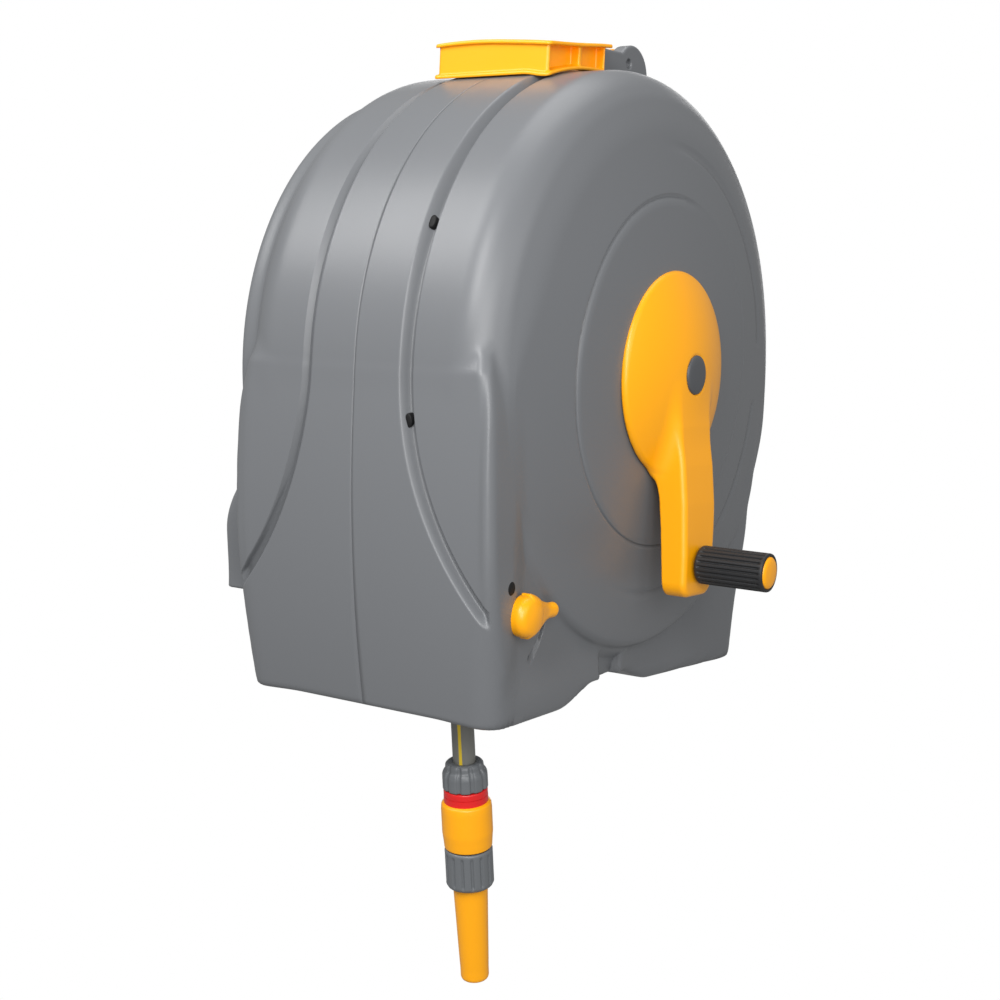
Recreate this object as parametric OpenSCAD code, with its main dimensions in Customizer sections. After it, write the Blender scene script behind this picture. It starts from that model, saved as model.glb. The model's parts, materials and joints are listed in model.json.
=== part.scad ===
// Wall mounted garden hose reel, millimetres, +Z up, +X the crank side, -Y the front.
// The origin is the centre of the wall plate's screw pattern, on the wall face.

/* [Casing] */
// Distance from the wall to the drum axis
axis_to_wall = 359; // [352:1:370]
// Radius of the raised band round the middle
spine_r = 235.5; // [234.5:0.5:237]
// How far that band stands out of the casing
spine_step = 2.5; // [1.5:0.25:3]
// Half width of the raised band
spine_half_w = 39; // [34:1:42]
// Width of the channel beside the raised band
channel_w = 10; // [8:0.5:12]
// Depth of that channel below the casing
channel_depth = 2.5; // [1.5:0.25:3]
// Radius at which the raised band flares into the foot
flare_r = 255; // [250:1:260]
// Radius of the edge between rim and side face
shoulder_r = 27; // [22:1:32]
// Radius of the round panel in the side face
panel_r = 137; // [130:1:145]
// Distance of that panel's edge from the middle
panel_x = 123.3; // [121:0.5:126]
// Radius of the raised round face on the left side
rim_r = 220; // [212:1:224]
// Distance of that face's edge from the middle
rim_x = 124; // [121:0.5:127]
// Wall thickness of the casing
wall = 3; // [2.5:0.25:3.5]
// Gap between the two casing halves
seam_gap = 0.4; // [0.2:0.1:0.8]

/* [Foot] */
// Depth of the foot's flat underside below the drum axis
foot_z = 251.5; // [248:0.5:256]
// Greatest half width of the foot
foot_half_w = 119.5; // [118:0.5:122]
// How far the foot's sides draw in behind the corners
foot_waist = 10.5; // [8:0.5:12]
// Radius of the foot's upright corners
foot_corner_r = 20; // [14:1:24]
// Radius of the bowed front
front_r = 960; // [900:10:1100]
// Back of the foot, behind the drum axis
foot_back = 190; // [184:1:196]
// Height of the arch under the foot
arch_h = 11.5; // [8:0.5:14]

/* [Hose] */
// Outside diameter of the hose
hose_d = 17.3; // [16.5:0.1:18]
// Bore of the hose
hose_bore = 12.5; // [11:0.5:13]
// Radius at which the outer layer is wound
wind_r = 192.5; // [190:0.5:194]
// Place of the free hose along the drum axis
hose_x = 49; // [40:1:52]
// Lean of the free hose from the vertical
hose_lean = 9.4; // [8:0.1:11]
// Length of the free hose from the winding to its fitting
free_len = 268.5; // [262:0.5:280]

/* [Drum] */
// Inner face of the left drum flange
drum_left = 88; // [84:1:89]
// Inner face of the right drum flange
drum_right = 82; // [78:1:83]
// Radius of the drum core
core_r = 130; // [120:1:136]
// Radius of the drum flanges
flange_r = 208; // [206:0.5:210]
// Thickness of the drum flanges
flange_t = 4; // [3:0.25:4.5]
// Radius of the drum's two journals
journal_r = 18; // [16:0.5:19]
// Radius of the water spindle
spindle_r = 12; // [11:0.25:12.5]
// Bore radius of the water way
water_r = 6.5; // [5:0.25:7]

/* [Gears] */
// Gear module
gear_m = 2.5; // [2.5:0.05:2.55]
// Teeth on the crank gear
crank_teeth = 40; // [40, 44]
// Teeth on the layshaft pinion
pinion_teeth = 20; // [20, 16]
// Teeth on the layshaft wheel and on the drum wheel
drum_teeth = 30; // [30]
// Face width of the gears
gear_w = 9; // [7:0.5:9.5]
// Backlash on each tooth
gear_backlash = 0.35; // [0.25:0.05:0.5]
// Radius of the layshaft
layshaft_r = 5; // [4:0.5:6]

/* [Crank] */
// Radius of the crank's hub disc
hub_r = 80; // [76:1:82]
// Radius at which the grip sits
crank_r = 146.8; // [142:0.2:149]
// Width of the crank arm
arm_w = 46; // [40:1:48]
// Outer face of the crank arm along the drum axis
arm_face = 162.5; // [160:0.5:166]
// Length of the grip
grip_len = 59; // [54:1:62]
// Diameter of the grip
grip_d = 31; // [29:0.5:33]
// Radius of the crank shaft
shaft_r = 8; // [7:0.5:8.5]

/* [Lock lever] */
// Distance of the lever's pivot in front of the drum axis
lock_front = 183; // [181:1:185]
// Distance of the lever's pivot below the drum axis
lock_below = 173; // [171:1:175]
// Radius of the curved slot beside the lever
slot_r = 43; // [41:0.5:44]
// Swing of the lever in degrees
lock_swing = 50; // [45:1:54]
// Radius of the lever's round knob
knob_r = 18; // [16:0.5:19]

/* [Carry handle] */
// Half width of the carry handle
carry_half_w = 54; // [50:1:58]
// Height of the carry handle
carry_h = 26; // [23:0.5:28]
// Distance of the handle's hinge behind the drum axis
carry_hinge_y = 62; // [60:1:66]
// Height of the handle hinge above the top of the raised band
carry_hinge_rise = 17.5; // [15.5:0.5:20]
// Radius of the grey ears
ear_r = 17; // [15:0.5:19]

/* [Wall bracket] */
// Half width of the wall plate
plate_half_w = 34; // [30:1:36]
// Half height of the wall plate
plate_half_h = 95; // [88:1:98]
// Thickness of the wall plate
plate_t = 6; // [5:0.5:8]
// Distance from the wall to the swivel pin
pivot_to_wall = 112; // [105:1:115]
// Radius of the swivel pin
pin_r = 6; // [5:0.25:7]
// Spacing of the wall screws across
screw_dx = 44; // [40:1:48]
// Spacing of the wall screws up and down
screw_dz = 150; // [140:1:160]
// Radius of the wall screw holes
screw_hole_r = 3.25; // [3:0.05:3.5]

/* [Clearances] */
// Radial clearance of a running fit
run_gap = 0.06; // [0.03:0.01:0.09]

/* [Hidden] */

$fn = 72;
big = 900;
hose_r = hose_d / 2;

// Slopes of the side face outside and inside the round panel
face_slope = 0.158;
panel_slope = 0.06;
face_k = sqrt(1 + face_slope * face_slope);
band_r = spine_r - spine_step;
shoulder_centre_r = band_r - shoulder_r;
function face_x(r) = r < panel_r ? panel_x + (panel_r - r) * panel_slope
    : panel_x - (r - panel_r) * face_slope;
shoulder_centre_x = face_x(shoulder_centre_r) - shoulder_r * face_k;

// Inside of the casing
inner_r = band_r - wall;
inner_face = face_x(0) - wall;

module at_axis() translate([0, -axis_to_wall, 0]) children();
module along_x(x) translate([x, 0, 0]) rotate([0, 90, 0]) children();
module side_prism(x0, x1) translate([x0, 0, 0]) rotate([90, 0, 90]) linear_extrude(x1 - x0) children();
module front_prism(y0, y1) translate([0, y1, 0]) rotate([90, 0, 0]) linear_extrude(y1 - y0) children();
module tube(r_out, r_in, h) difference() {
    cylinder(r = r_out, h = h);
    translate([0, 0, -1]) cylinder(r = r_in, h = h + 2);
}
module half_space(side, inset) translate([side > 0 ? (inset > 0 ? -1 : seam_gap / 2)
        : -big - (inset > 0 ? -1 : seam_gap / 2), -big / 2, -big / 2]) cube([big, big, big]);
function arc(cy, cz, r, a0, a1, n) = [for (i = [0:n]) let (a = a0 + (a1 - a0) * i / n)
    [cy + r * cos(a), cz + r * sin(a)]];

// Casing outline: the drum housing is turned, the foot is cut from three outlines
function housing_half(inset) = let (k = shoulder_r - inset) concat(
    [[0.01, -1], [band_r - inset, -1]],
    [for (i = [0:6]) let (a = i / 6 * (90 - atan(face_slope)))
        [shoulder_centre_r + k * cos(a), shoulder_centre_x + k * sin(a)]],
    [[panel_r, face_x(panel_r) - inset * face_k], [0.01, face_x(0) - inset]]);
// The left side carries a raised round face out to this radius
function rim_angle(inset) = acos((rim_r - inset - shoulder_centre_r) / (shoulder_r - inset));
function rimmed_half(inset) = let (k = shoulder_r - inset, b = rim_bend - inset / 2) concat(
    [[0.01, -1], [band_r - inset, -1]],
    [for (i = [0:4]) let (a = i / 4 * rim_angle(inset))
        [shoulder_centre_r + k * cos(a), shoulder_centre_x + k * sin(a)]],
    [for (i = [0:3]) let (a = i / 3 * 84)
        [rim_r - inset - b * (1 - cos(a)), rim_x - inset - b * (1 - sin(a))]],
    [[0.01, face_x(0) - inset]]);
module housing(side, inset) mirror([side > 0 ? 0 : 1, 0, 0]) {
    along_x(0) rotate_extrude() polygon(side > 0 ? housing_half(inset) : rimmed_half(inset));
    along_x(-1) cylinder(r = 1, h = face_x(0) - inset);
}

front_straight = -30;
front_top = -10;
front_tuck = 14;
foot_top = 40;
function front_y(z, inset) = let (drop = max(0, front_straight - z))
    -spine_r + inset + front_r - sqrt(pow(front_r, 2) - drop * drop);
bottom_r = 9;
back_corner_r = 24;
foot_lean = 6;
function foot_side_points(inset, step) = let (
        zb = -foot_z + inset,
        r = bottom_r,
        rb = back_corner_r,
        yf = front_y(zb + r, inset + step),
        yb = foot_back - inset) concat(
    [[front_y(0, inset + step) + front_tuck, foot_top], [front_y(0, inset + step) + front_tuck, front_top]],
    [for (z = [front_top, front_straight, -75, -120, -165, -205]) [front_y(z, inset + step), z]],
    arc(yf + r, zb + r, r, 180, 270, 3),
    [[-109, zb], [-84, zb + 0.7 * arch_h], [-57, zb + arch_h], [-12, zb + arch_h],
        [16, zb + 0.6 * arch_h], [40, zb]],
    arc(yb - foot_lean - rb, zb + rb, rb, 270, 350, 3),
    [[yb, -200], [yb + foot_lean, -110], [yb + foot_lean, foot_top]]);

// Half width of the foot at a height
foot_wide_z = -140;
foot_bow = 1800;
rim_bend = 6;
foot_levels = [-240, -205, -172, -140, -108, -76, -44, -12, 14, foot_top];
function foot_half(z) = foot_half_w - pow(z - foot_wide_z, 2) / (2 * foot_bow)
    - (z > -44 ? 0.0023 * pow(z + 44, 2) : 0);
function foot_front_half(inset) = let (r = bottom_r, zb = -foot_z + inset,
        w = foot_half(-foot_z + r) - inset) concat(
    arc(w - r, zb + r, r, 270, 350, 3),
    [for (z = foot_levels) [foot_half(z) - inset, z]]);
function mirrored(points) = concat(points,
    [for (i = [len(points) - 1:-1:0]) [-points[i][0], points[i][1]]]);

waist_y = -5;
function foot_plan_half(inset, step) = let (r = foot_corner_r, w = foot_half_w - inset,
        yf = -spine_r + inset + step, yb = foot_back + foot_lean - inset) concat(
    arc(w - r, yf + r, r, -90, 0, 4),
    [[w - foot_waist, waist_y]],
    arc(w - r, yb - r, r, 0, 90, 3));

module foot(inset, step) intersection() {
    side_prism(-big / 2, big / 2) polygon(foot_side_points(inset, step));
    front_prism(-big / 2, big / 2) polygon(mirrored(foot_front_half(inset)));
    translate([0, 0, -big / 2]) linear_extrude(big) polygon(mirrored(foot_plan_half(inset, step)));
}

// Outline of the raised band from the front: a strip that flares out below the drum axis
flare_end = 60;
function flare_x(z, grow) = spine_half_w + flare_r
    - sqrt(pow(flare_r - grow, 2) - pow(min(z, 0), 2));
module flare_outline(grow) polygon(mirrored(concat(
    [[flare_x(-230, grow) + 8, -foot_z - 20]],
    [for (z = [-225, -195, -165, -130, -90, -45, 0]) [flare_x(z, grow), z]],
    [[spine_half_w + grow, flare_end]])));
module band_strip(grow) {
    along_x(-spine_half_w - grow) cylinder(r = spine_r + 10, h = 2 * (spine_half_w + grow));
    front_prism(-big / 2, -60) flare_outline(grow);
}
module casing_core(side, inset) {
    intersection() {
        housing(side, inset);
        half_space(side, inset);
    }
    intersection() {
        foot(inset, spine_step);
        half_space(side, inset);
    }
}
module deep_core(depth) {
    along_x(-big / 2) cylinder(r = band_r - depth, h = big);
    side_prism(-big / 2, big / 2) polygon(foot_side_points(0, spine_step + depth));
}
module raised_band(side) intersection() {
    union() {
        along_x(-spine_half_w) cylinder(r = spine_r, h = 2 * spine_half_w);
        intersection() {
            foot(0, 0);
            front_prism(-big / 2, -60) flare_outline(0);
        }
    }
    half_space(side, 0);
}
module casing_skin(side) difference() {
    union() {
        difference() {
            casing_core(side, 0);
            difference() {
                band_strip(channel_w);
                deep_core(channel_depth);
            }
        }
        raised_band(side);
    }
    difference() {
        casing_core(side, wall);
        difference() {
            band_strip(channel_w + wall);
            band_strip(-wall);
            deep_core(channel_depth + wall);
        }
    }
}

// Fixings along and across the casing
corner_posts = [[-200, -152], [158, -163]];
corner_post_r = 7;
corner_post_x = foot_half_w - 2.5;
strap_angles = [-9.7, 25.5, 125, 150];
strap_x = [52, 47.5, 47.5, 47.5];
stud_r = 2.4;
strap_floor = band_r - channel_depth - 0.3;
strap_seat = [spine_r - 1.6, strap_floor, strap_floor, strap_floor];
strap_t = 3.5;
strap_r = band_r - channel_depth - wall - 0.1;
radial_screw_r = 2;
screw_head_r = 5.5;
screw_head_h = 2;
screw_play = 0.05;
module around(a, x) rotate([-a, 0, 0]) translate([x, 0, 0]) rotate([90, 0, 0]) children();
module screw(shank_r, shank_l, head_r, head_h) {
    translate([0, 0, -shank_l]) cylinder(r = shank_r, h = shank_l + 0.1, $fn = 32);
    cylinder(r = head_r, h = head_h, $fn = 32);
}
module casing_posts(side) {
    for (p = corner_posts) translate([side > 0 ? seam_gap / 2 : -corner_post_x, p[0], p[1]])
        rotate([0, 90, 0]) cylinder(r = corner_post_r, h = corner_post_x - seam_gap / 2, $fn = 40);
    around(strap_angles[0], side * strap_x[0]) translate([0, 0, strap_r + 0.1])
        cylinder(r = 7, h = strap_seat[0] - strap_r - 0.9, $fn = 40);
    if (side < 0) for (i = [0:len(strap_angles) - 1]) around(strap_angles[i], -strap_x[i]) {
        translate([0, 0, strap_r - strap_t - 1.3]) cylinder(r = stud_r, h = strap_t + 3, $fn = 40);
        translate([0, 0, strap_r - strap_t - 1.3]) cylinder(r = stud_r + 1.5, h = 1.2, $fn = 40);
    }
    for (a = yoke_screw_angles) around(a, side * yoke_screw_x)
        translate([0, 0, inner_r - 5]) cylinder(r = 7, h = 6, $fn = 40);
    translate([side > 0 ? roller_x + 1 : -roller_x - 6, roller_y[0] - 9, -foot_z + 2])
        cube([5, roller_y[1] - roller_y[0] + 18, foot_z - 2 - roller_floor]);
    translate([side > 0 ? ear_x0 : -ear_x1, 0, 0]) side_prism(0, ear_x1 - ear_x0) {
        translate([carry_hinge_y, carry_hinge_z]) circle(ear_r);
        polygon([[carry_hinge_y - ear_r, carry_hinge_z], [carry_hinge_y - ear_r - 1, band_r - 9],
            [carry_hinge_y + ear_r + 22, band_r - 28], [carry_hinge_y + ear_r, carry_hinge_z]]);
    }
}
module casing_holes(side) {
    if (side > 0) for (i = [0:len(strap_angles) - 1]) around(strap_angles[i], strap_x[i]) {
        translate([0, 0, strap_r - 3]) cylinder(r = radial_screw_r + screw_play, h = 20, $fn = 32);
        translate([0, 0, strap_seat[i]]) cylinder(r = screw_head_r + 0.6, h = 20, $fn = 32);
    }
    for (a = yoke_screw_angles) around(a, side * yoke_screw_x)
        translate([0, 0, inner_r - 7]) cylinder(r = radial_screw_r + screw_play, h = 20, $fn = 32);
    translate([-roller_x, slot_y0, -foot_z - 5]) cube([2 * roller_x, slot_y1 - slot_y0, 14]);
    for (y = roller_y) along_x(-roller_x - 4) translate([-roller_z, y, 0])
        cylinder(r = roller_pin_r + screw_play, h = 2 * roller_x + 8, $fn = 32);
    translate([0, carry_hinge_y, carry_hinge_z]) rotate([0, 90, 0])
        translate([0, 0, -60]) cylinder(r = handle_pin_r + screw_play, h = 120, $fn = 40);
}
ear_x0 = 28;
carry_hinge_z = spine_r + carry_hinge_rise;
ear_x1 = 40;
handle_pin_r = 3;

// Hose line: it leaves the winding on a tangent and hangs with a slight lean
hose_start = [hose_x, -wind_r * cos(hose_lean), -wind_r * sin(hose_lean)];
module on_hose(s) translate([hose_x, hose_start[1] + s * sin(hose_lean), hose_start[2] - s * cos(hose_lean)])
    rotate([180 + hose_lean, 0, 0]) children();
function hose_y(z) = hose_start[1] + (hose_start[2] - z) * tan(hose_lean);

roller_r = 6;
roller_pin_r = 2.5;
roller_x = 59.5;
roller_z = -240;
roller_z_offset = -roller_z;
roller_floor = roller_z_offset - 9;
roller_off = hose_r / cos(hose_lean) + roller_r + 0.5;
roller_y = [hose_y(roller_z) - roller_off, hose_y(roller_z) + roller_off];
slot_y0 = hose_y(-foot_z) - hose_r - 8;
slot_y1 = hose_y(-foot_z) + hose_r + 6;

// Gear train places
centre_distance = gear_m * (crank_teeth + pinion_teeth) / 2;
lay_y = centre_distance * sqrt(0.5);
lay_z = centre_distance * sqrt(0.5);
plate_x = drum_right + flange_t + 2;
plate_thick = 3;
wheel_x = plate_x + plate_thick + 2;
crank_gear_x = wheel_x + gear_w + 3;
lay_end = face_x(centre_distance) - wall - 0.6;
post_radius = 95;
post_angles = [225, 135, -45];
crank_boss_r = 20;
crank_bush_r = 12;
lay_boss_r = 9;
bush_x = crank_gear_x + gear_w + 0.5;
module right_fixings() {
    for (a = post_angles) rotate([a, 0, 0]) translate([0, post_radius, 0]) along_x(plate_x + plate_thick)
        cylinder(r = 6, h = face_x(post_radius) - wall / 2 - plate_x - plate_thick, $fn = 32);
    along_x(bush_x + 1.5) cylinder(r = crank_boss_r, h = face_x(0) + 0.8 - bush_x - 1.5);
    translate([0, lay_y, lay_z]) along_x(bush_x + 1.5)
        cylinder(r = lay_boss_r, h = face_x(centre_distance) - wall / 2 - bush_x - 1.5, $fn = 40);
    translate([0, -lock_front, -lock_below]) along_x(lock_boss_x)
        cylinder(r = lock_boss_r, h = lock_face - wall / 2 - lock_boss_x, $fn = 40);
}
module right_holes() {
    for (a = post_angles) rotate([a, 0, 0]) translate([0, post_radius, 0]) along_x(plate_x)
        cylinder(r = 1.8, h = 22, $fn = 32);
    along_x(bush_x - 1) cylinder(r = crank_bush_r, h = 40);
    translate([0, lay_y, lay_z]) along_x(bush_x) cylinder(r = layshaft_r + run_gap, h = lay_end + 0.5 - bush_x, $fn = 48);
    translate([0, -lock_front, -lock_below]) {
        along_x(lock_boss_x - 1) cylinder(r = lock_shaft_r + run_gap, h = 40, $fn = 48);
        side_prism(lock_face - 12, lock_face + 12) slot_outline();
    }
    for (p = corner_posts) translate([-1, p[0], p[1]]) rotate([0, 90, 0]) {
        cylinder(r = 2.6, h = 150, $fn = 32);
        translate([0, 0, corner_head_x]) cylinder(r = 6, h = 60, $fn = 32);
    }
}
corner_head_x = 112;
module slot_outline() {
    intersection() {
        difference() {
            circle(slot_r + 2);
            circle(slot_r - 2);
        }
        polygon([[0, 0], [80, 4], [80, -80], [80 * cos(lock_swing + 5), -80 * sin(lock_swing + 5)]]);
    }
}
lock_boss_x = 104;
lock_boss_r = 9;
lock_shaft_r = 5;
lock_face = foot_half(-lock_below) - foot_waist * (1 - lock_front / (spine_r - foot_corner_r));

module right_shell() color("dimgray") at_axis() difference() {
    union() {
        casing_skin(1);
        casing_posts(1);
        right_fixings();
    }
    casing_holes(1);
    right_holes();
}

// Water inlet on the far side
inlet_pad_r = 34;
inlet_pad_x = 131;
inlet_boss_in = drum_left + flange_t + 2;
left_bush_r = 22.3;
inlet_screw_angles = [90, 210, 330];
inlet_screw_r = 28;
module left_shell() color("dimgray") at_axis() difference() {
    union() {
        casing_skin(-1);
        casing_posts(-1);
        along_x(-inlet_pad_x) cylinder(r = inlet_pad_r, h = 16);
        along_x(-inlet_pad_x + 8) cylinder(r = 28, h = inlet_pad_x - 8 - inlet_boss_in);
    }
    casing_holes(-1);
    along_x(-inlet_pad_x - 1) cylinder(r = left_bush_r, h = 50);
    for (a = inlet_screw_angles) rotate([a, 0, 0]) translate([0, inlet_screw_r, 0])
        along_x(-inlet_pad_x - 1) cylinder(r = 1.8, h = 13, $fn = 32);
    for (p = corner_posts) translate([-24, p[0], p[1]]) rotate([0, 90, 0]) cylinder(r = 2.05, h = 25, $fn = 32);
}

module seam_straps() color("darkgray") at_axis() for (i = [0:len(strap_angles) - 1]) difference() {
    intersection() {
        along_x(-strap_x[i] - 7) tube(strap_r, strap_r - strap_t, 2 * strap_x[i] + 14);
        around(strap_angles[i], 0) translate([-big / 2, -10, 0]) cube([big, 20, big]);
    }
    around(strap_angles[i], strap_x[i]) translate([0, 0, strap_r - 12]) cylinder(r = radial_screw_r, h = 20, $fn = 32);
    around(strap_angles[i], -strap_x[i]) translate([0, 0, strap_r - 12]) cylinder(r = stud_r + run_gap, h = 20, $fn = 32);
}
module strap_screws() color("black") at_axis() for (i = [0:len(strap_angles) - 1])
    around(strap_angles[i], strap_x[i]) translate([0, 0, strap_seat[i]])
        screw(radial_screw_r, strap_seat[i] - strap_r + strap_t + 1.5, screw_head_r, screw_head_h);
module corner_screws() color("black") at_axis() for (p = corner_posts)
    translate([corner_head_x - 1, p[0], p[1]]) rotate([0, 90, 0]) screw(2, corner_head_x + 18, 5.5, 3);

// Wall bracket and swivel
pivot_y = axis_to_wall - pivot_to_wall;
arm_z0 = 60;
arm_t = 20;
arm_half_w = 13;
yoke_half_z = 57;
yoke_half_w = 66;
yoke_r = spine_r + 5.5;
barrel_r = pivot_y - spine_r - 0.5;
yoke_screw_angles = [169, 191];
yoke_screw_x = 58;
module wall_bracket() color("dimgray") difference() {
    union() {
        translate([-plate_half_w, -plate_t, -plate_half_h]) cube([2 * plate_half_w, plate_t, 2 * plate_half_h]);
        for (z = [arm_z0, -arm_z0 - arm_t]) translate([0, -pivot_to_wall, z]) {
            cylinder(r = arm_half_w, h = arm_t);
            translate([-arm_half_w, 0, 0]) cube([2 * arm_half_w, pivot_to_wall - plate_t + 1, arm_t]);
        }
        translate([-3, -36, -arm_z0 - 1]) cube([6, 36 - plate_t + 1, 2 * arm_z0 + 2]);
    }
    translate([0, -pivot_to_wall, -big / 2]) cylinder(r = pin_r, h = big);
    for (x = [-1, 1]) for (z = [-1, 1]) translate([x * screw_dx / 2, 1, z * screw_dz / 2]) rotate([90, 0, 0])
        cylinder(r = screw_hole_r, h = plate_t + 2, $fn = 40);
}
module hinge_yoke() color("gray") at_axis() difference() {
    union() {
        intersection() {
            along_x(-yoke_half_w) tube(yoke_r, band_r + 0.2, 2 * yoke_half_w);
            translate([-big / 2, 0, -yoke_half_z]) cube([big, big, 2 * yoke_half_z]);
        }
        translate([0, pivot_y, -yoke_half_z]) cylinder(r = barrel_r, h = 2 * yoke_half_z);
        intersection() {
            translate([-barrel_r, spine_r - 12, -yoke_half_z]) cube([2 * barrel_r, 22, 2 * yoke_half_z]);
            translate([-big / 2, pivot_y - big, -big / 2]) cube(big);
        }
    }
    along_x(-yoke_half_w - 1) cylinder(r = band_r + 0.2, h = 2 * yoke_half_w + 2);
    along_x(-spine_half_w - channel_w - 0.5) cylinder(r = spine_r + 0.2, h = 2 * (spine_half_w + channel_w + 0.5));
    translate([0, pivot_y, -big / 2]) cylinder(r = pin_r + run_gap, h = big);
    for (a = yoke_screw_angles) for (s = [-1, 1]) around(a, s * yoke_screw_x)
        translate([0, 0, spine_r - 8]) cylinder(r = radial_screw_r + screw_play, h = 30, $fn = 32);
}
module yoke_screws() color("black") at_axis() for (a = yoke_screw_angles) for (s = [-1, 1])
    around(a, s * yoke_screw_x) translate([0, 0, yoke_r]) screw(radial_screw_r, yoke_r - inner_r + 4, 5, 3);
pin_reach = arm_z0 + arm_t;
module swivel_pin() color("silver") translate([0, -pivot_to_wall, 0]) difference() {
    union() {
        translate([0, 0, -pin_reach - 6]) cylinder(r = pin_r, h = 2 * pin_reach + 6.1);
        translate([0, 0, pin_reach]) cylinder(r = 10, h = 3);
    }
    translate([0, 0, -pin_reach - 3]) tube(pin_r + 1, pin_r - 1, 1.4);
}
module pin_clip() color("silver") translate([0, -pivot_to_wall, -pin_reach - 2.9]) difference() {
    cylinder(r = 9.5, h = 1.2);
    translate([0, 0, -1]) cylinder(r = pin_r - 0.95, h = 4);
    translate([-3.5, 0, -1]) cube([7, 12, 4]);
}

// Folding carry handle over the top of the casing
carry_front = -84;
carry_back = -6;
carry_seat_r = spine_r + 1;
function seat_z(y) = sqrt(carry_seat_r * carry_seat_r - y * y);
carry_top = seat_z(carry_front) + carry_h;
tongue_half_w = ear_x0 - 1.5;
barrel_out = ear_r - 4.5;
finger_half_w = carry_half_w - 12;
finger_y0 = -62;
finger_y1 = -22;
module carry_handle() color("goldenrod") at_axis() difference() {
    union() {
        side_prism(-carry_half_w, carry_half_w) polygon(concat(
            [for (y = [carry_front:13:carry_back]) [y, seat_z(y)]],
            [[carry_back, carry_top + 12], [-30, carry_top + 8.5], [-60, carry_top + 3],
                [carry_front + 4, carry_top], [carry_front, carry_top - 3]]));
        side_prism(-tongue_half_w, tongue_half_w) polygon(concat(
            [for (y = [carry_back - 4:10:34]) [y, seat_z(y) + 1]],
            [[carry_hinge_y - 4, carry_hinge_z - barrel_out], [carry_hinge_y, carry_hinge_z + barrel_out],
                [30, carry_top + 17], [0, carry_top + 12.5], [carry_back - 4, carry_top + 11]]));
        translate([0, carry_hinge_y, carry_hinge_z]) rotate([0, 90, 0]) translate([0, 0, -tongue_half_w])
            cylinder(r = barrel_out, h = 2 * tongue_half_w);
    }
    translate([-finger_half_w, finger_y0, 100]) cube([2 * finger_half_w, finger_y1 - finger_y0, 300]);
    translate([0, carry_hinge_y, carry_hinge_z]) rotate([0, 90, 0]) translate([0, 0, -40])
        cylinder(r = handle_pin_r + run_gap, h = 80, $fn = 48);
}
module handle_pin() color("silver") at_axis() translate([0, carry_hinge_y, carry_hinge_z]) rotate([0, 90, 0])
    translate([0, 0, -ear_x1 + 3]) cylinder(r = handle_pin_r, h = 2 * ear_x1 - 6, $fn = 48);

// Crank
disc_back = 128.5;
dome = [[0, 151.2], [16, 150.6], [30, 148.6], [45, 145.2], [60, 140.8], [70, 137.2], [78.3, 133.6],
    [hub_r, 131.8]];
arm_end = crank_r + 2.7;
arm_in = 139;
module arm_outline(inset) {
    translate([-arm_w / 2 + inset, -arm_end]) square([arm_w - 2 * inset, arm_end]);
    translate([0, -arm_end]) circle(arm_w / 2 - inset);
}
module crank_arm() color("goldenrod") at_axis() difference() {
    union() {
        along_x(0) rotate_extrude() polygon(concat(dome, [[hub_r, disc_back], [hub_r - 3, disc_back]],
            [for (i = [6:-1:2]) [dome[i][0] - 3, dome[i][1] - 3]],
            [[15, 147.2], [15, face_x(0) + 1.6], [0, face_x(0) + 1.6]]));
        difference() {
            intersection() {
                side_prism(arm_in - 8, arm_face + 4) arm_outline(0);
                rotate([90, 0, 0]) linear_extrude(big, center = true) arm_section(0);
            }
            intersection() {
                side_prism(arm_in - 12, arm_face + 4) arm_outline(3);
                rotate([90, 0, 0]) linear_extrude(big, center = true) arm_section(3);
            }
        }
        translate([0, 0, -crank_r]) along_x(arm_in) cylinder(r = 11, h = arm_face - arm_in - 1, $fn = 48);
    }
    along_x(face_x(0)) cylinder(r = shaft_r, h = 17);
    along_x(face_x(0)) cylinder(r = 3.2, h = 30, $fn = 32);
    along_x(cap_seat) cylinder(r = cap_r + 0.1, h = 20);
    along_x(cap_seat - 1.6) cylinder(r = 6, h = 20, $fn = 32);
    translate([0, 0, -crank_r]) along_x(arm_in - 1) cylinder(r = spindle_pin_r, h = 60, $fn = 40);
}
module arm_section(inset) polygon([for (p = arm_points(inset)) [p[1], p[0]]]);
function arm_points(inset) = [[-arm_end - arm_w / 2 - 1, arm_in - (inset > 0 ? 5 : 0)],
    [-arm_end - arm_w / 2 - 1, arm_face + 1.5 - inset], [-150, arm_face + 1 - inset],
    [-110, arm_face - 1 - inset], [-80, arm_face - 4 - inset], [-50, arm_face - 8.5 - inset],
    [-22 - inset, 150.7 - inset], [-22 - inset, arm_in - 1], [-84, arm_in - (inset > 0 ? 5 : 0)]];
cap_r = 15.5;
cap_seat = 149.6;
spindle_pin_r = 5;
module crank_cap() color("gray") at_axis() along_x(cap_seat) difference() {
    union() {
        cylinder(r = cap_r, h = 2.4);
        translate([0, 0, 2.3]) cylinder(r1 = cap_r - 1, r2 = cap_r - 3, h = 1);
    }
    translate([0, 0, -1]) cylinder(r = 6.5, h = 2.4, $fn = 32);
}
module crank_screw() color("silver") at_axis() along_x(cap_seat - 1.6) difference() {
    translate([0, 0, 0]) screw(3, 18, 5.5, 2.8);
    translate([0, 0, 1.2]) cylinder(r = 2.4, h = 3, $fn = 16);
}
module crank_shaft() color("silver") at_axis() difference() {
    along_x(crank_gear_x - 1) cylinder(r = shaft_r, h = 147.5 - crank_gear_x + 1);
    along_x(129) cylinder(r = 3, h = 30, $fn = 32);
}
module crank_bush() color("ivory") at_axis() {
    along_x(bush_x + 1.5) tube(crank_bush_r, shaft_r + run_gap, face_x(0) + 0.5 - bush_x - 1.5);
    along_x(bush_x) tube(crank_bush_r + 3, shaft_r + run_gap, 1.5);
}
grip_start = arm_face + 2;
grip_end = grip_start + grip_len;
grip_cap_t = 4;
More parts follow.
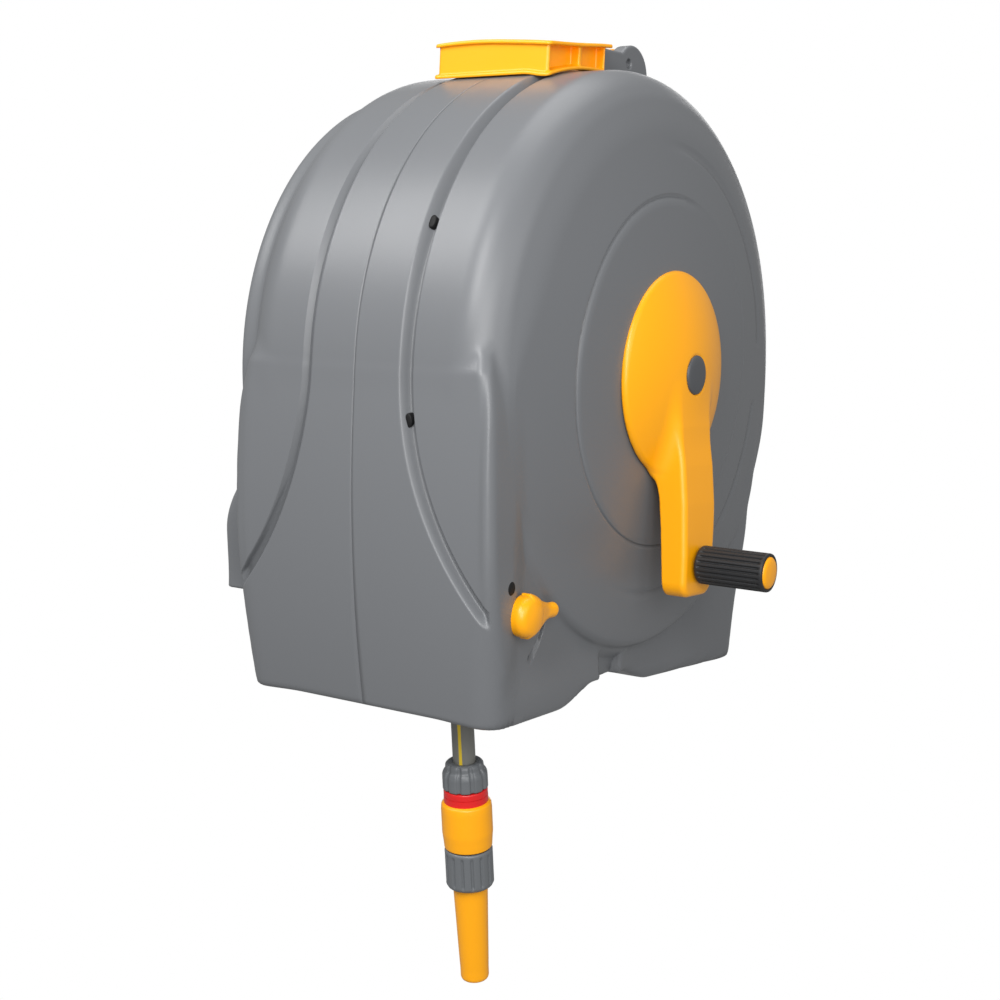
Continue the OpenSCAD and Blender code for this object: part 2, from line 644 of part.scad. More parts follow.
module at_grip(x) translate([0, 0, -crank_r]) along_x(x) children();
module grip_spindle() color("silver") at_axis() {
    at_grip(arm_in + 2) cylinder(r = spindle_pin_r, h = grip_end - 9 - arm_in - 2, $fn = 48);
    at_grip(grip_end - 9.1) cylinder(r = 8, h = 2.6, $fn = 48);
}
grip_ribs = 26;
module grip_sleeve() color("black") at_axis() difference() {
    union() {
        at_grip(grip_start) cylinder(r = grip_d / 2 - 0.8, h = grip_len);
        for (i = [0:grip_ribs - 1]) at_grip(grip_start + 5) rotate([0, 0, i * 360 / grip_ribs])
            translate([0, -0.9, 0]) cube([grip_d / 2, 1.8, grip_len - 8]);
    }
    at_grip(grip_start - 1) cylinder(r = spindle_pin_r + run_gap, h = grip_len, $fn = 48);
    at_grip(grip_end - 10) cylinder(r = 8.6, h = 12, $fn = 48);
    at_grip(grip_end - grip_cap_t) cylinder(r = 12.6, h = 12, $fn = 48);
}
module grip_end_cap() color("goldenrod") at_axis() difference() {
    union() {
        at_grip(grip_end - grip_cap_t) cylinder(r = 12.6, h = grip_cap_t + 0.8);
        at_grip(grip_end - grip_cap_t - 1.6) cylinder(r = 8.6, h = 2, $fn = 48);
    }
    at_grip(grip_end - grip_cap_t - 3) cylinder(r = 6, h = 3, $fn = 32);
}

// Spur gears: involute flanks in short straight steps, on true root cylinders
pressure_angle = 20;
function inv(a) = tan(a) - a * PI / 180;
function tooth_half(r, teeth) = let (base = gear_m * teeth / 2 * cos(pressure_angle))
    r * (PI / 2 / teeth + inv(pressure_angle) - inv(acos(min(1, base / r)))) - gear_backlash / 4;
module gear(teeth, width, bore_r, hub_r, hub_w) {
    pr = gear_m * teeth / 2;
    root = pr - 1.25 * gear_m;
    base = pr * cos(pressure_angle);
    flank = [[root - 0.6, tooth_half(max(base, root), teeth)], [max(base, root), tooth_half(max(base, root), teeth)],
        [pr, tooth_half(pr, teeth)], [pr + gear_m / 2, tooth_half(pr + gear_m / 2, teeth)],
        [pr + gear_m, tooth_half(pr + gear_m, teeth)]];
    difference() {
        union() {
            cylinder(r = root, h = width);
            for (i = [0:teeth - 1]) rotate([0, 0, i * 360 / teeth]) linear_extrude(width)
                polygon(concat([for (p = flank) [p[0], -p[1]]], [for (i = [len(flank) - 1:-1:0]) flank[i]]));
            translate([0, 0, hub_w > 0 ? 0 : hub_w]) cylinder(r = hub_r, h = abs(hub_w) + (hub_w > 0 ? 0 : 1));
        }
        translate([0, 0, -20]) cylinder(r = bore_r, h = 60);
    }
}
module crank_gear() color("ivory") at_axis() along_x(crank_gear_x)
    gear(crank_teeth, gear_w, shaft_r, 14, gear_w);
module lay_pinion() color("ivory") at_axis() translate([0, lay_y, lay_z]) along_x(crank_gear_x)
    rotate([0, 0, lay_pinion_turn]) gear(pinion_teeth, gear_w, layshaft_r, 9, -2.4);
module lay_wheel() color("ivory") at_axis() translate([0, lay_y, lay_z]) along_x(wheel_x)
    rotate([0, 0, lay_wheel_turn]) gear(drum_teeth, gear_w, layshaft_r, 9, -1.6);
module drum_wheel() color("ivory") at_axis() along_x(wheel_x)
    gear(drum_teeth, gear_w, spigot_r, 17, gear_w);
module layshaft() color("silver") at_axis() translate([0, lay_y, lay_z]) along_x(plate_x - 1)
    cylinder(r = layshaft_r, h = lay_end - plate_x + 1, $fn = 48);
// In the along_x frame a turn about the axis starts at -Z and runs toward +Y
mesh_angle = 135;
lay_pinion_turn = mesh_angle + 180 + (mesh_angle * crank_teeth / pinion_teeth) + 180 / pinion_teeth;
lay_wheel_turn = mesh_angle + 180 + mesh_angle + 180 / drum_teeth;
spigot_r = 14;
plate_bush_r = journal_r + 4;
module gear_plate() color("silver") at_axis() difference() {
    along_x(plate_x) cylinder(r = post_radius + 8, h = plate_thick);
    along_x(plate_x - 1) cylinder(r = plate_bush_r, h = plate_thick + 2);
    translate([0, lay_y, lay_z]) along_x(plate_x - 1) cylinder(r = layshaft_r + run_gap, h = plate_thick + 2, $fn = 48);
    for (a = post_angles) rotate([a, 0, 0]) translate([0, post_radius, 0]) along_x(plate_x - 1)
        cylinder(r = 2.2, h = plate_thick + 2, $fn = 32);
    for (a = [0, 90, 180, 270]) rotate([a, 0, 0]) translate([0, 62, 0]) along_x(plate_x - 1)
        cylinder(r = 18, h = plate_thick + 2);
}
module gear_plate_screws() color("silver") at_axis() for (a = post_angles) rotate([a, 0, 0])
    translate([0, post_radius, 0]) along_x(plate_x) rotate([180, 0, 0]) screw(1.7, 16, 4, 1.5);
module drum_bush_right() color("ivory") at_axis() along_x(plate_x - 0.6)
    tube(plate_bush_r, journal_r + run_gap, plate_thick + 1.8);

// Drum
notches = 24;
notch_depth = 12;
pawl_reach = 48.5;
engaged_angle = 180 + atan2(lock_below + -pawl_reach * cos(lock_swing), lock_front - pawl_reach * sin(lock_swing));
// The pawl swings into its notch from one side, so each notch is longer on that side
pawl_w = 9;
lock_c = sqrt(lock_front * lock_front + lock_below * lock_below);
pawl_entry = acos((lock_c * lock_c + pawl_reach * pawl_reach - flange_r * flange_r) / (2 * lock_c * pawl_reach));
pawl_past = abs(lock_swing - atan2(lock_front, lock_below));
notch_lead = pawl_reach * (sin(pawl_entry) + sin(pawl_past)) + pawl_w / 2 + 1.5;
notch_w = notch_lead + pawl_w / 2 + 3.5;
module drum_core() color("dimgray") at_axis() difference() {
    union() {
        along_x(-drum_left) tube(core_r, core_r - 4, drum_left + drum_right);
        for (a = [45:90:315]) rotate([a, 0, 0]) translate([0, core_r - 9, 0]) for (x = [-drum_left, drum_right - 18])
            along_x(x) cylinder(r = 6, h = 18, $fn = 32);
    }
    for (a = [45:90:315]) rotate([a, 0, 0]) translate([0, core_r - 9, 0]) for (x = [-drum_left - 1, drum_right - 15])
        along_x(x) cylinder(r = 1.6, h = 16, $fn = 24);
    translate([pipe_x, 0, 0]) cylinder(r = pipe_r + 0.3, h = core_r + 5, $fn = 40);
}
module flange_disc(x) difference() {
    along_x(x) cylinder(r = flange_r, h = flange_t);
    for (a = [45:90:315]) rotate([a, 0, 0]) translate([0, core_r - 9, 0]) along_x(x - 1)
        cylinder(r = 1.7, h = flange_t + 2, $fn = 24);
    for (a = [0:45:315]) rotate([a, 0, 0]) translate([0, 78, 0]) along_x(x - 1)
        cylinder(r = 21, h = flange_t + 2);
}
module drum_flange_right() color("dimgray") at_axis() difference() {
    union() {
        flange_disc(drum_right);
        along_x(drum_right - 8) cylinder(r = 30, h = 9);
        along_x(drum_right + flange_t - 1) cylinder(r = journal_r, h = wheel_x - drum_right - flange_t + 0.5);
        along_x(wheel_x - 1) cylinder(r = spigot_r, h = gear_w + 1);
    }
    for (i = [0:notches - 1]) rotate([engaged_angle + i * 360 / notches, 0, 0])
        translate([drum_right - 1, flange_r - notch_depth, -notch_lead]) cube([flange_t + 2, 30, notch_w]);
    along_x(drum_right - 9) cylinder(r = 8, h = 40);
}
module drum_flange_left() color("dimgray") at_axis() difference() {
    flange_disc(-drum_left - flange_t);
    along_x(-drum_left - flange_t - 1) cylinder(r = journal_r, h = flange_t + 2);
    for (a = hub_screw_angles) rotate([a, 0, 0]) translate([0, 27, 0]) along_x(-drum_left - flange_t - 1)
        cylinder(r = 1.7, h = flange_t + 2, $fn = 24);
}
hub_screw_angles = [30, 150, 270];
module flange_screws() color("silver") at_axis() {
    for (a = [45:90:315]) rotate([a, 0, 0]) translate([0, core_r - 9, 0]) {
        along_x(drum_right + flange_t) screw(1.55, 14, 4, 2);
        along_x(-drum_left - flange_t) rotate([180, 0, 0]) screw(1.55, 14, 4, 2);
    }
    for (a = hub_screw_angles) rotate([a, 0, 0]) translate([0, 27, 0])
        along_x(-drum_left - flange_t) rotate([180, 0, 0]) screw(1.55, 11, 3.2, 1.6);
}
// Left hub: journal outside, seal bore for the water spindle inside
hub_in = 52;
pipe_x = -60;
pipe_r = 7;
spindle_in = 68;
hub_out_x = drum_left + flange_t + 15;
module drum_hub_left() color("ivory") at_axis() difference() {
    union() {
        along_x(-hub_out_x) cylinder(r = journal_r, h = hub_out_x - hub_in);
        along_x(-drum_left) cylinder(r = 33, h = 9);
        translate([pipe_x, 0, 0]) cylinder(r = 10, h = 26, $fn = 40);
    }
    along_x(-hub_out_x - 1) cylinder(r = spindle_r + run_gap, h = hub_out_x + 1 - hub_in - 4);
    translate([pipe_x, 0, 0]) cylinder(r = pipe_r, h = 40, $fn = 40);
    for (a = hub_screw_angles) rotate([a, 0, 0]) translate([0, 27, 0]) along_x(-drum_left - 1)
        cylinder(r = 1.6, h = 9, $fn = 24);
}
module drum_water_pipe() color("ivory") at_axis() translate([pipe_x, 0, 15])
    tube(pipe_r, pipe_r - 2, core_r - 15);
module drum_bush_left() color("ivory") at_axis() along_x(-hub_out_x + 2) tube(left_bush_r, journal_r + run_gap, 13);
seal_x = [96, 84];
seal_w = 3.2;
seal_floor = 9.3;
seal_wire = (spindle_r + run_gap - 0.03 - seal_floor) / 2;
spindle_flange_r = 32;
module water_spindle() color("gray") at_axis() difference() {
    union() {
        along_x(-inlet_pad_x - 0.5) cylinder(r = spindle_r, h = inlet_pad_x + 0.5 - spindle_in);
        along_x(-inlet_pad_x - 3) cylinder(r = spindle_flange_r, h = 3);
        along_x(-inlet_pad_x + 0.1 - 3) cylinder(r = left_bush_r - 0.1, h = 10);
        along_x(-inlet_pad_x - 3 - 4) cylinder(r = 9, h = 5);
    }
    along_x(-inlet_pad_x - 10) cylinder(r = water_r, h = inlet_pad_x);
    for (x = seal_x) along_x(-x - seal_w / 2) tube(spindle_r + 2, seal_floor, seal_w);
    for (a = inlet_screw_angles) rotate([a, 0, 0]) translate([0, inlet_screw_r, 0])
        along_x(-inlet_pad_x - 5) cylinder(r = 2, h = 10, $fn = 24);
}
module spindle_seals() color("black") at_axis() for (x = seal_x) along_x(-x)
    rotate_extrude() translate([seal_floor + seal_wire, 0]) circle(seal_wire, $fn = 24);
module spindle_screws() color("silver") at_axis() for (a = inlet_screw_angles) rotate([a, 0, 0])
    translate([0, inlet_screw_r, 0]) along_x(-inlet_pad_x - 3) rotate([180, 0, 0]) screw(1.75, 13, 3.4, 2);

inlet_y = -151;
inlet_z = -118;
pipe_plane = 147;
inlet_pipe_r = 8;
inlet_bore = 5.5;
slant_bore = 5;
inlet_angle = atan2(inlet_z, inlet_y);
inlet_reach = sqrt(inlet_y * inlet_y + inlet_z * inlet_z);
stub_top = -158;
module inlet_pipe() color("gray") at_axis() difference() {
    union() {
        along_x(-pipe_plane - 8) cylinder(r = 11, h = 17.5, $fn = 48);
        translate([-pipe_plane, 0, 0]) rotate([inlet_angle, 0, 0]) rotate([-90, 0, 0])
            cylinder(r = inlet_pipe_r, h = inlet_reach, $fn = 48);
        translate([-pipe_plane, inlet_y, inlet_z]) sphere(inlet_pipe_r + 1, $fn = 48);
        translate([-pipe_plane, inlet_y, stub_top]) cylinder(r = inlet_pipe_r, h = inlet_z - stub_top, $fn = 48);
    }
    along_x(-pipe_plane - 5.3) cylinder(r = inlet_bore, h = 40, $fn = 48);
    along_x(-inlet_pad_x - 7.1) cylinder(r = 9, h = 12, $fn = 48);
    translate([-pipe_plane, 0, 0]) rotate([inlet_angle, 0, 0]) rotate([-90, 0, 0])
        cylinder(r = slant_bore, h = inlet_reach, $fn = 48);
    translate([-pipe_plane, inlet_y, stub_top - 1]) cylinder(r = inlet_bore, h = inlet_z - stub_top + 5.3, $fn = 48);
}
tap_thread_r = 13.2;
module inlet_connector() color("gray") at_axis() translate([-pipe_plane, inlet_y, stub_top - 26]) difference() {
    union() {
        cylinder(r = tap_thread_r, h = 16);
        translate([0, 0, 15.9]) cylinder(r = 15.5, h = 10.1);
        translate([0, 0, 25]) cylinder(r = 11, h = 9);
    }
    translate([0, 0, -1]) cylinder(r = inlet_bore + 1.5, h = 28, $fn = 48);
    translate([0, 0, 26]) cylinder(r = inlet_pipe_r, h = 20, $fn = 48);
}
cover_x = 158;
cowl = [[-182, -187], [-120, -95]];
module cover_outline(inset) {
    circle(40 - inset);
    rotate(inlet_angle) translate([0, -19 + inset]) square([inlet_reach, 38 - 2 * inset]);
    translate([cowl[0][0] + inset, cowl[0][1] + (inset > 0 ? -5 : 0)])
        square([cowl[1][0] - cowl[0][0] - 2 * inset, cowl[1][1] - cowl[0][1] - inset + (inset > 0 ? 5 : 0)]);
}
module cowl_block(inset) translate([-166 + inset, cowl[0][0] + inset, cowl[0][1] - (inset > 0 ? 5 : 0)])
    cube([60, cowl[1][0] - cowl[0][0] - 2 * inset, cowl[1][1] - cowl[0][1] - inset + (inset > 0 ? 5 : 0)]);
module inlet_cover() color("dimgray") at_axis() difference() {
    union() {
        side_prism(-cover_x, -100) cover_outline(0);
        cowl_block(0);
    }
    side_prism(-cover_x + 2.5, -90) cover_outline(2.5);
    cowl_block(2.5);
    housing(-1, -0.3);
    foot(-0.3, 0);
    translate([-120, -big / 2, -big / 2]) cube([200, big, big]) ;
    along_x(-inlet_pad_x - 0.2) cylinder(r = inlet_pad_r + 0.5, h = 40);
}

// Wound hose, in layers of side by side turns
pack_gap = 0.4;
module hose_pack() color("gray") at_axis() difference() {
    union() {
        along_x(-drum_left + pack_gap) cylinder(r = wind_r - hose_r - 0.3, h = drum_left + drum_right - 2 * pack_gap);
        along_x(-drum_left + pack_gap) cylinder(r = wind_r + hose_r - 0.3, h = drum_left - pack_gap + hose_x - hose_r - 0.5);
    }
    along_x(-drum_left - 1) cylinder(r = core_r + pack_gap, h = drum_left + drum_right + 2);
}
hose_points = [[49, -190, -31], [49, -180.6, -88], [49, -171.1, -145], [49, -161.7, -202],
    [49, -152.2, -259], [49, -142.7, -316]];
hose_sides = 12;
module free_hose() color("gray") at_axis() {
    n = len(hose_points);
    rings = [for (p = hose_points) for (r = [hose_r, hose_bore / 2]) for (i = [0:hose_sides - 1])
        let (a = 360 * i / hose_sides) p + [r * cos(a), r * sin(a) * cos(hose_lean), r * sin(a) * sin(hose_lean)]];
    k = hose_sides;
    quads = concat(
        [for (j = [0:n - 2]) for (i = [0:k - 1]) let (a = 2 * k * j, m = (i + 1) % k)
            [a + i, a + 2 * k + i, a + 2 * k + m, a + m]],
        [for (j = [0:n - 2]) for (i = [0:k - 1]) let (a = 2 * k * j + k, m = (i + 1) % k)
            [a + i, a + m, a + 2 * k + m, a + 2 * k + i]],
        [for (i = [0:k - 1]) let (m = (i + 1) % k) [i, m, k + m, k + i]],
        [for (i = [0:k - 1]) let (m = (i + 1) % k, a = 2 * k * (n - 1)) [a + m, a + i, a + k + i, a + k + m]]);
    polyhedron(points = rings, faces = quads);
}
module roller(y) translate([-roller_x + 0.7, y, roller_z])
    rotate([0, 90, 0]) tube(roller_r, roller_pin_r + run_gap, 2 * roller_x - 1.4);
module roller_front() color("gray") at_axis() roller(roller_y[0]);
module roller_back() color("gray") at_axis() roller(roller_y[1]);
module roller_pins() color("silver") at_axis() for (y = roller_y) translate([-roller_x - 3.5, y, roller_z])
    rotate([0, 90, 0]) cylinder(r = roller_pin_r, h = 2 * roller_x + 7, $fn = 40);

// Drum lock
lever_x = lock_face + 2.1;
module at_lock() translate([0, -lock_front, -lock_below]) children();
module lock_lever() color("goldenrod") at_axis() at_lock() difference() {
    union() {
        along_x(lever_x) rotate_extrude() polygon([[0, 0], [knob_r, 0], [knob_r, 6.5], [knob_r - 1.6, 9.6],
            [knob_r - 5, 12.2], [6, 13.8], [0, 14]]);
        translate([lever_x, 0, -6]) cube([6, slot_r - 2, 12]);
        translate([0, slot_r - 2, 0]) along_x(lever_x) cylinder(r = 6, h = 6, $fn = 40);
        translate([0, slot_r, 0]) along_x(lock_face - 6) cylinder(r = 1.6, h = lever_x - lock_face + 8, $fn = 24);
    }
    along_x(lever_x - 1) cylinder(r = lock_shaft_r, h = 9, $fn = 48);
}
module lock_shaft() color("silver") at_axis() at_lock() along_x(drum_right - 2.5)
    cylinder(r = lock_shaft_r, h = lever_x + 8 - drum_right + 2.5, $fn = 48);
pawl_t = 4.5;
module lock_pawl() color("ivory") at_axis() at_lock() difference() {
    union() {
        along_x(drum_right - 2) cylinder(r = 10, h = flange_t + 4, $fn = 48);
        translate([drum_right + (flange_t - pawl_t) / 2, -pawl_w / 2, 0]) cube([pawl_t, pawl_w, pawl_reach]);
    }
    along_x(drum_right - 5) cylinder(r = lock_shaft_r, h = 14, $fn = 48);
}

// Hose end fitting, in order from the winding outward
nut_l = 28;
nut_r = 17.5;
nut_ribs = 24;
module clamp_nut() color("dimgray") at_axis() on_hose(free_len) difference() {
    union() {
        cylinder(r = nut_r - 0.8, h = nut_l - 1);
        for (i = [0:nut_ribs - 1]) rotate([0, 0, i * 360 / nut_ribs]) translate([0, -1, 5]) cube([nut_r, 2, nut_l - 8]);
    }
    translate([0, 0, -1]) cylinder(r = hose_r + 0.45, h = nut_l + 2);
    translate([0, 0, 12]) cylinder(r = 13.3, h = nut_l);
}
module connector_body() color("firebrick") at_axis() on_hose(free_len) difference() {
    union() {
        translate([0, 0, 4]) cylinder(r = 5.9, h = 30, $fn = 48);
        translate([0, 0, 23]) cylinder(r = 13.2, h = 6);
        translate([0, 0, 27.3]) cylinder(r = 16.9, h = 6);
        translate([0, 0, 33]) cylinder(r = 14.5, h = 29);
    }
    translate([0, 0, 0]) cylinder(r = 4.5, h = 70, $fn = 48);
    translate([0, 0, 38]) cylinder(r = 9.2, h = 30);
    for (a = claw_angles) rotate([0, 0, a]) translate([0, -5.3, 50]) cube([20, 10.6, 6.6]);
}
claw_angles = [0, 120, 240];
module connector_claws() color("ivory") at_axis() on_hose(free_len) for (a = claw_angles) intersection() {
    rotate([0, 0, a]) translate([0, -5, 50.3]) cube([20, 10, 6]);
    translate([0, 0, 50]) tube(14.4, 8.3, 7);
}
module connector_seal() color("black") at_axis() on_hose(free_len + 44)
    rotate_extrude() translate([7.95, 0]) circle(1.2, $fn = 24);
spring_turns = 4;
spring_l = 9;
spring_r = 15.8;
spring_wire = 0.65;
module connector_spring() color("silver") at_axis() on_hose(free_len + 34.3) {
    n = 14 * spring_turns;
    k = 6;
    rings = [for (j = [0:n]) let (t = 360 * spring_turns * j / n) for (i = [0:k - 1]) let (b = 360 * i / k)
        [(spring_r + spring_wire * cos(b)) * cos(t), (spring_r + spring_wire * cos(b)) * sin(t),
            spring_l * j / n + spring_wire * sin(b)]];
    sides = [for (j = [0:n - 1]) for (i = [0:k - 1]) let (a = k * j, m = (i + 1) % k)
        [a + i, a + k + i, a + k + m, a + m]];
    polyhedron(points = rings, faces = concat(sides, [[for (i = [0:k - 1]) i], [for (i = [k - 1:-1:0]) k * n + i]]));
}
sleeve_r = 19.5;
module connector_sleeve() color("goldenrod") at_axis() on_hose(free_len + 32) difference() {
    union() {
        cylinder(r1 = sleeve_r - 1.4, r2 = sleeve_r, h = 6);
        translate([0, 0, 5.9]) cylinder(r = sleeve_r, h = 30.2);
        translate([0, 0, 36]) cylinder(r1 = sleeve_r, r2 = sleeve_r - 1.2, h = 5);
    }
    translate([0, 0, -1]) cylinder(r = 17.3, h = 13.2);
    translate([0, 0, -1]) cylinder(r = 14.8, h = 60);
}
module nozzle_stem() color("dimgray") at_axis() on_hose(free_len) difference() {
    union() {
        translate([0, 0, 39]) cylinder(r = 8.9, h = 68);
        translate([0, 0, 63.5]) cylinder(r = 14, h = 9);
        translate([0, 0, 106]) cylinder(r = 5.6, h = 22, $fn = 48);
    }
    translate([0, 0, 38]) cylinder(r = 3.6, h = 80, $fn = 48);
    translate([0, 0, 42.5]) tube(12, 6.7, 3);
    translate([0, 0, 50]) tube(12, 8, 6.6);
    translate([0, 0, 118]) rotate([90, 0, 0]) cylinder(r = 1.5, h = 20, center = true, $fn = 24);
}
collar_r = 18.5;
module nozzle_collar() color("dimgray") at_axis() on_hose(free_len + 74) difference() {
    union() {
        cylinder(r = collar_r - 0.8, h = 33);
        for (i = [0:27]) rotate([0, 0, i * 360 / 28]) translate([0, -1, 2]) cube([collar_r, 2, 29]);
    }
    translate([0, 0, -1]) cylinder(r = 8.9, h = 40);
}
nozzle_l = 77;
module nozzle_barrel() color("goldenrod") at_axis() on_hose(free_len + 107.5) difference() {
    union() {
        cylinder(r1 = 13.2, r2 = 10.8, h = 0.75 * nozzle_l);
        translate([0, 0, 0.75 * nozzle_l - 0.1]) cylinder(r = 11.2, h = 0.25 * nozzle_l);
    }
    translate([0, 0, -1]) cylinder(r = 5.66, h = 26, $fn = 48);
    cylinder(r = 3, h = 100, $fn = 48);
}

right_shell();
left_shell();
seam_straps();
strap_screws();
corner_screws();
wall_bracket();
hinge_yoke();
yoke_screws();
swivel_pin();
pin_clip();
carry_handle();
handle_pin();
crank_arm();
crank_cap();
crank_screw();
crank_shaft();
crank_bush();
grip_spindle();
grip_sleeve();
grip_end_cap();
crank_gear();
layshaft();
lay_pinion();
lay_wheel();
drum_wheel();
gear_plate();
gear_plate_screws();
drum_bush_right();
drum_core();
drum_flange_right();
drum_flange_left();
flange_screws();
drum_hub_left();
drum_water_pipe();
drum_bush_left();
water_spindle();
spindle_seals();
spindle_screws();
inlet_pipe();
inlet_connector();
inlet_cover();
hose_pack();
free_hose();
roller_front();
roller_back();
roller_pins();
lock_lever();
lock_shaft();
lock_pawl();
clamp_nut();
connector_body();
connector_claws();
connector_seal();
connector_spring();
connector_sleeve();
nozzle_stem();
nozzle_collar();
nozzle_barrel();
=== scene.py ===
import json
import math

import bpy
import numpy as np
from mathutils import Matrix, Vector


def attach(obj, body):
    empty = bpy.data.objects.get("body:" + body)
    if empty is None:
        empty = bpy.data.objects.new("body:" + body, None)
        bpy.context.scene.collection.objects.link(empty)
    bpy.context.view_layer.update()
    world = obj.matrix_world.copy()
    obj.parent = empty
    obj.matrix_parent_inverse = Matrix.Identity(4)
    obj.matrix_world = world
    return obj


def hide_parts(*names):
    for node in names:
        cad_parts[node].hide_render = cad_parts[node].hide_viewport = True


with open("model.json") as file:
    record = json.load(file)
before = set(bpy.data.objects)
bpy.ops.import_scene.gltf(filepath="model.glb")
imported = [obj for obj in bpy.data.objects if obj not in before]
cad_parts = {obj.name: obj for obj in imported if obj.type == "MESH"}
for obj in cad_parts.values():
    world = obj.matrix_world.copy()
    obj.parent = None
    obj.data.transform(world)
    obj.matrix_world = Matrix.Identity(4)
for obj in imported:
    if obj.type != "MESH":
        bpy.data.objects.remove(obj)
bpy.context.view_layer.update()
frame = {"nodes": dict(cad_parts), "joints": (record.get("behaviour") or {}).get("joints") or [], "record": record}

# Shapes are worked out in millimetres from the drum axis: x toward the crank, y toward the
# wall, z up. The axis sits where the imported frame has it.
joints = {j["name"]: j for j in frame["joints"]}
axisY = joints["drum_spin"]["pos_m"][1]


def toFrame(points):
    return np.asarray(points, float) / 1000 + np.array([0, axisY, 0])


def centreOf(joint):
    p = joints[joint]["pos_m"]
    return np.array([p[0], p[1] - axisY, p[2]]) * 1000


# Matched to the photo from the drum's circles, the foot's corners, the crank and the grip
camera = {
    "eye": (722.0, -1139.0, 17.0),
    "azimuth": 33.3,  # degrees from straight ahead, toward the crank
    "elevation": 5.5,
    "roll": 2.82,  # the picture is turned a little
    "focalPixels": 1624.0,
    "picturePixels": 1000.0,
    "sensor": 36.0,
    "clip": (0.05, 50),
}


def placeCamera(c):
    a, e, r = (math.radians(c[k]) for k in ("azimuth", "elevation", "roll"))
    back = Vector((math.sin(a) * math.cos(e), -math.cos(a) * math.cos(e), math.sin(e)))
    right = (-back).cross(Vector((0, 0, 1))).normalized()
    up = right.cross(-back)
    side = math.cos(r) * right + math.sin(r) * up
    top = -math.sin(r) * right + math.cos(r) * up
    data = bpy.data.cameras.new("camera")
    data.sensor_width = c["sensor"]
    data.lens = c["focalPixels"] / c["picturePixels"] * c["sensor"]
    data.clip_start, data.clip_end = c["clip"]
    obj = bpy.data.objects.new("camera", data)
    turned = Matrix((side, top, back)).transposed().to_4x4()
    obj.matrix_world = Matrix.Translation(toFrame(c["eye"])) @ turned
    bpy.context.scene.collection.objects.link(obj)
    bpy.context.scene.camera = obj


placeCamera(camera)
print("camera placed")


def srgb(text):
    values = [int(text[i : i + 2], 16) / 255 for i in (1, 3, 5)]
    return [v / 12.92 if v <= 0.04045 else ((v + 0.055) / 1.055) ** 2.4 for v in values] + [1.0]


def addNode(tree, kind, settings=None, links=None):
    node = tree.nodes.new(kind)
    for key, value in (settings or {}).items():
        if key in node.inputs:
            node.inputs[key].default_value = value
        else:
            setattr(node, key, value)
    for key, source in (links or {}).items():
        tree.links.new(source, node.inputs[key])
    return node


# Colour and gloss, the fine grain that the mould leaves, and patches where hands and water have
# changed the gloss a little. The patches are about 110 mm across.
def makeFinish(name, look):
    material = bpy.data.materials.new(name)
    material.use_nodes = True
    tree = material.node_tree
    shader = tree.nodes["Principled BSDF"]
    shader.inputs["Base Color"].default_value = srgb(look["colour"])
    shader.inputs["Roughness"].default_value = look["roughness"]
    shader.inputs["IOR"].default_value = look.get("ior", 1.5)
    shader.inputs["Metallic"].default_value = look.get("metallic", 0.0)
    here = {"Vector": addNode(tree, "ShaderNodeTexCoord").outputs["Object"]}
    if "grainMm" in look:
        scale = {"Scale": 1000 / look["grainMm"], "Detail": 2.0}
        grain = addNode(tree, "ShaderNodeTexNoise", scale, here)
        deep = {"Strength": 1.0, "Distance": look["deepMm"] / 1000}
        bump = addNode(tree, "ShaderNodeBump", deep, {"Height": grain.outputs["Fac"]})
        tree.links.new(bump.outputs["Normal"], shader.inputs["Normal"])
    if "wear" in look:
        patches = addNode(tree, "ShaderNodeTexNoise", {"Scale": 9.0, "Detail": 4.0}, here)
        limits = {
            "From Min": 0.3,
            "From Max": 0.7,
            "To Min": look["roughness"] - look["wear"],
            "To Max": look["roughness"] + look["wear"],
        }
        gloss = addNode(tree, "ShaderNodeMapRange", limits, {"Value": patches.outputs["Fac"]})
        tree.links.new(gloss.outputs["Result"], shader.inputs["Roughness"])
    return material


# Grey polypropylene, injection moulded in a spark eroded mould: a satin skin whose fine grain
# breaks up the highlights. The grain is drawn at 0.6 mm, coarser than the real 0.2 mm.
shellGrey = makeFinish(
    "polypropylene_grey",
    {"colour": "#6b6d70", "roughness": 0.37, "grainMm": 0.6, "deepMm": 0.015, "wear": 0.03},
)
# The same plastic darker and duller, for the drum, the rollers and the crank's cap
darkGrey = makeFinish(
    "polypropylene_dark_grey",
    {"colour": "#4d4f52", "roughness": 0.45, "grainMm": 0.6, "deepMm": 0.02},
)
# The same plastic moulded for the hose nut and the nozzle's collar, between the two in tone
connectorGrey = makeFinish(
    "polypropylene_mid_grey",
    {"colour": "#66696c", "roughness": 0.4, "grainMm": 0.6, "deepMm": 0.02},
)
# Yellow ABS, injection moulded in a polished mould: glossier than the casing, saturated through
yellowAbs = makeFinish(
    "abs_yellow",
    {"colour": "#ffab00", "roughness": 0.36, "grainMm": 0.8, "deepMm": 0.012, "wear": 0.03},
)
# Red ABS, injection moulded and smooth
redAbs = makeFinish("abs_red", {"colour": "#d81e1e", "roughness": 0.35})
# Thermoplastic rubber moulded over the grip: near black and dull, with a soft wide sheen
gripBlack = makeFinish(
    "thermoplastic_rubber_black",
    {"colour": "#232426", "roughness": 0.55, "grainMm": 0.5, "deepMm": 0.03},
)
# Extruded PVC: the hose's warm grey skin and the yellow stripe drawn into it, both smooth
hoseGrey = makeFinish("pvc_grey", {"colour": "#74746f", "roughness": 0.38})
hoseYellow = makeFinish("pvc_yellow", {"colour": "#d9b92c", "roughness": 0.38})
# Natural acetal, moulded or turned, for bushes and gears: off-white and waxy
acetal = makeFinish("acetal_natural", {"colour": "#e4e1d8", "roughness": 0.4})
